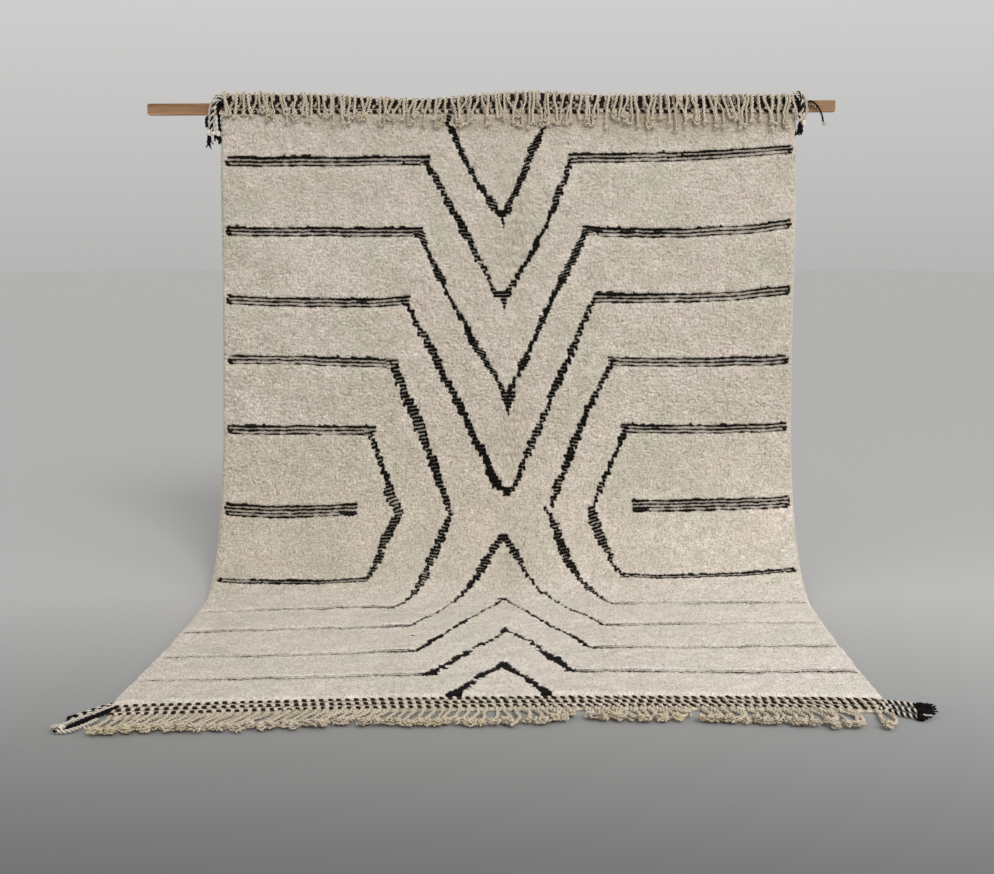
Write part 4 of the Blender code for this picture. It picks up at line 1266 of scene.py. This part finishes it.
tails = [
    make_tail("tail_top_left", hung, (
        (((-980, 40, -1), (-1004, 40, 2), (-1025, 6, 3), (-1034, -42, 3), (-1035, -85, 2)),
         8.5, (0, 0), 30),
        (((-1036, -30, 6), (-1040, -44, 8), (-1040, -58, 8), (-1038, -66, 7)), 10.5, (1, 1), 24),
        (((-980, 30, 1), (-1000, 28, 5), (-1017, -10, 6), (-1024, -48, 5), (-1025, -85, 4)),
         11, (1, 0), 26),
        (((-980, 10), (-993, 10, 4), (-997, -20, 4), (-995, -85, 3)), 12.5, (1, 1), 30),
        (((-980, 36), (-1002, 22, 3), (-1012, -24, 4), (-1009, -85, 3)), 11, (0, 0), 34),
        (((-982, 24), (-1000, 12, 4), (-1019, -30, 2), (-1020, -85, 1)), 6, (1, 1), 34),
    ), (
        ((-1034, -86, 4), DOWNWARD, 9.2, 0), ((-1016, -88, 4), (1, 0, 0), 8.5, 0),
        ((-1001, -88, 3), DOWNWARD, 9.8, 0),
    ), (
        ((-1034, -90, 3), (0.06, 0, -1), TO_ROOM, 9, 50, 1, 0.26),
        ((-1010, -90, 3), (-0.05, 0, -1), TO_ROOM, 5, 26, 1, 0.30),
        ((-998, -90, 3), (0.14, 0, -1), TO_ROOM, 8, 36, 1, 0.28),
    ), 81),
    make_tail("tail_top_right", hung, (
        (((978, 38), (992, 24, 4), (999, -20, 5), (1003, -68, 4)), 10.5, (1, 1), 28),
        (((978, 30, -1), (1002, 32, 4), (1009, -10, 3), (1006, -66, 2)), 10, (1, 0), 30),
        (((978, 42), (1004, 48, 3), (1022, 16, 3), (1025, -28, 3), (1014, -54, 6)), 13, (0, 0), 14),
        (((976, 46, 1), (998, 47, 6), (1013, 12, 1), (1011, -58, 1)), 7, (1, 0), 24),
        (((1004, -64, 4), (996, -76, 5), (990, -86, 5)), 7, (0, 0), 16),
    ), (
        ((1015, -54, 4), DOWNWARD, 10, 0), ((1004, -68, 4), DOWNWARD, 10.5, 1),
    ), (
        ((1000, -74, 4), (-0.75, 0, -1), TO_ROOM, 5, 26, 1, 0.16),
        ((1006, -74, 4), (0.02, 0, -1), TO_ROOM, 4, 22, 1, 0.14),
    ), 82),
    make_tail("tail_end_left", laid, (
        (((-996, -1496), (-1030, -1520), (-1066, -1566), (-1098, -1612)), 13, (1, 0), 30),
        (((-996, -1512), (-1030, -1548), (-1072, -1610), (-1104, -1668)), 12, (0, 0), 22),
        (((-994, -1524), (-1022, -1566), (-1058, -1634), (-1090, -1700)), 14, (1, 1), 34),
        (((-1026, -1620), (-1048, -1668), (-1076, -1708), (-1108, -1710)), 11, (0, 0), 22),
        (((-998, -1504), (-1032, -1534), (-1068, -1588), (-1100, -1640)), 11, (0, 1), 26),
    ), (
        ((-1096, -1694, 1), (-0.4, -1, 0), 11, 0),
    ), (
        ((-1092, -1604), (-0.7, -1, 0), UPWARD, 4, 22, 1, 0.30),
        ((-1098, -1672), (-0.8, -1, 0), UPWARD, 8, 36, 0, 0.90),
        ((-1096, -1684, 6), (-0.6, -1, 0), UPWARD, 6, 30, 0, 0.90),
        ((-1092, -1700), (-0.8, -0.8, 0), UPWARD, 4, 24, 1, 0.30),
    ), 83, FLOOR),
    make_tail("tail_end_right", laid, (
        (((994, -1440), (1034, -1452), (1070, -1466), (1098, -1482)), 12.5, (1, 0), 16.5),
        (((992, -1470), (1026, -1492), (1060, -1512), (1088, -1528)), 12.5, (0, 1), 16.5),
        (((986, -1500), (1016, -1528), (1044, -1552), (1074, -1572)), 12.5, (1, 0), 16.5),
    ), (
        ((1096, -1484), (1, -0.3, 0), 12, 1), ((1088, -1528), (1, -0.3, 0), 12, 1),
        ((1074, -1572), (1, -0.2, 0), 10.5, 1),
    ), (
        ((1094, -1484), (1, 0.05, 0), UPWARD, 6, 40, 1, 0.55),
        ((1086, -1526, 3), (1, 0.10, 0), UPWARD, 7, 44, 1, 0.55),
        ((1090, -1508, 7), (1, 0.05, 0), UPWARD, 5, 40, 1, 0.50),
        ((1072, -1572), (1, -0.20, 0), UPWARD, 5, 30, 1, 0.60),
        ((1080, -1548, 4), (1, 0.00, 0), UPWARD, 4, 40, 1, 0.45),
        ((1076, -1560), (1, -0.20, 0), UPWARD, 2, 30, 0, 0.20),
    ), 84, FLOOR),
]


# The loose yarn -----------------------------------------------------------------------------
# One dark twining yarn that has pulled free at the upper band's right end and curls over in
# front of the batten.

def make_loose_yarn():
    """A pulled dark yarn: a thick frayed start, a thinner end and a pale worn tip."""
    draw = random.Random(91)
    yarns = bundle()
    main, under = (
        smooth_route([hung(across, height, out - 1) for across, height, out in spots], pieces)
        for pieces, spots in (
            (30, ((984, 20, -1), (1014, 14, 2), (1040, 18, 4), (1062, 0, 5), (1077, -29, 5),
                  (1082, -52, 4))),
            (14, ((1010, 6, 3), (1028, 8, 5), (1046, 6, 6), (1058, -4, 6))),
        )
    )
    twisted_strand(yarns, main, 0.0078, (1, 1), 0.014, 0.3, 0.0)
    twisted_strand(yarns, under, 0.0060, (1, 0), 0.010, 0.3, 0.0)
    curly_tuft(yarns, under[0], (1, 0, -0.1), TO_ROOM, draw, 4, 0.030, 0.0026, 0.8, 0.3, 0.0)
    curly_tuft(yarns, main[-1], (0.1, 0, -1), TO_ROOM, draw, 4, 0.012, 0.0034, 0.0, 0.3, 0.2)
    return solid_piece("pulled_dark_yarn", BRAID_WOOL, *yarns)


loose_yarn = fit(make_loose_yarn(), "loose_yarn")


# The studio ---------------------------------------------------------------------------------
# A plain pale floor, soft light from above and in front, and a camera at chest height in front
# of the rug, turned a little down.

FLOOR_RADIUS = 32
# The fitted camera, in pixels of the photograph
PICTURE_WIDTH = 994
FOCAL_LENGTH = 1467


def pale_floor():
    """A wide plain floor just under the rug, a soft pool of shade round the rug's foot."""
    material, tree = new_material("plain_pale_floor", Roughness=0.75)
    where = add_node(tree, "TexCoord").outputs["Object"]
    aside, forward, _ = add_node(tree, "SeparateXYZ", where).outputs
    shade_near = spread(tree, forward, -2.45, -0.3, 1.0, 0.0)
    shade_far = spread(tree, forward, -5.60, -2.55)
    shade_beside = spread(tree, work_out(tree, "ABSOLUTE", aside), 1.20, 3.60, 1.0, 0.0)
    pool = work_out(tree, "MULTIPLY", shade_near, shade_far)
    pool = work_out(tree, "MULTIPLY", pool, shade_beside)
    feed(tree, colour_blend(tree, pool, (0.500, 0.498, 0.493), (0.166, 0.169, 0.170)),
         tree.nodes["Principled BSDF"].inputs["Base Color"])
    for other in bpy.context.selected_objects:
        other.select_set(False)
    bpy.ops.mesh.primitive_circle_add(vertices=128, radius=1.0, fill_type="NGON")
    floor = bpy.context.object
    floor.name = "plain_floor"
    for corner in floor.data.vertices:
        corner.co = (corner.co.x * FLOOR_RADIUS, corner.co.y * FLOOR_RADIUS, FLOOR - 0.0005)
    floor.data.materials.append(material)
    return floor


pale_floor()


def add_lamp(name, kind, strength, colour, shines_from, **settings):
    """A soft lamp that shines from a direction."""
    lamp = bpy.data.lights.new(name, kind)
    lamp.energy, lamp.color = strength, colour
    for setting, value in settings.items():
        setattr(lamp, setting, value)
    holder = add_object(name, lamp)
    holder.rotation_euler = Vector(shines_from).to_track_quat("Z", "Y").to_euler()
    return holder


add_lamp("high_front_light", "SUN", 1.50, (1.0, 0.99, 0.975), (0.42, -1.00, 0.86),
         angle=math.radians(22))
add_lamp("left_fill_light", "SUN", 0.42, (0.98, 0.99, 1.0), (-0.9, -0.85, 0.35),
         angle=math.radians(60))
near_lamp = add_lamp("low_right_light", "AREA", 34.0, (0.94, 0.97, 1.0), (2.1, -1.7, 1.8), size=2.0)
near_lamp.location = (2.9, -2.7, 0.4)

world = bpy.data.worlds.new("studio_air")
world.use_nodes = True
air = world.node_tree
looking = add_node(air, "TexCoord").outputs["Generated"]
upward = add_node(air, "SeparateXYZ", looking).outputs[2]
brighter = work_out(air, "MULTIPLY", spread(air, upward, -0.05, 0.14),
                    spread(air, upward, 0.20, 0.55, 1.0, 0.30))
feed(air, colour_blend(air, brighter, (0.452, 0.450, 0.446), (0.625, 0.620, 0.615)),
     air.nodes["Background"].inputs[0])
bpy.context.scene.world = world
bpy.context.scene.view_settings.view_transform = "Standard"

camera_data = bpy.data.cameras.new("viewer")
camera_data.sensor_fit = "HORIZONTAL"
camera_data.sensor_width = 36.0
camera_data.lens = camera_data.sensor_width * FOCAL_LENGTH / PICTURE_WIDTH
camera = add_object("viewer", camera_data)
camera.location = (0.054, -5.193, -0.377)
camera.rotation_euler = (math.radians(90 - 8.49), 0.0, math.radians(1.01))
bpy.context.scene.camera = camera

bpy.context.view_layer.update()
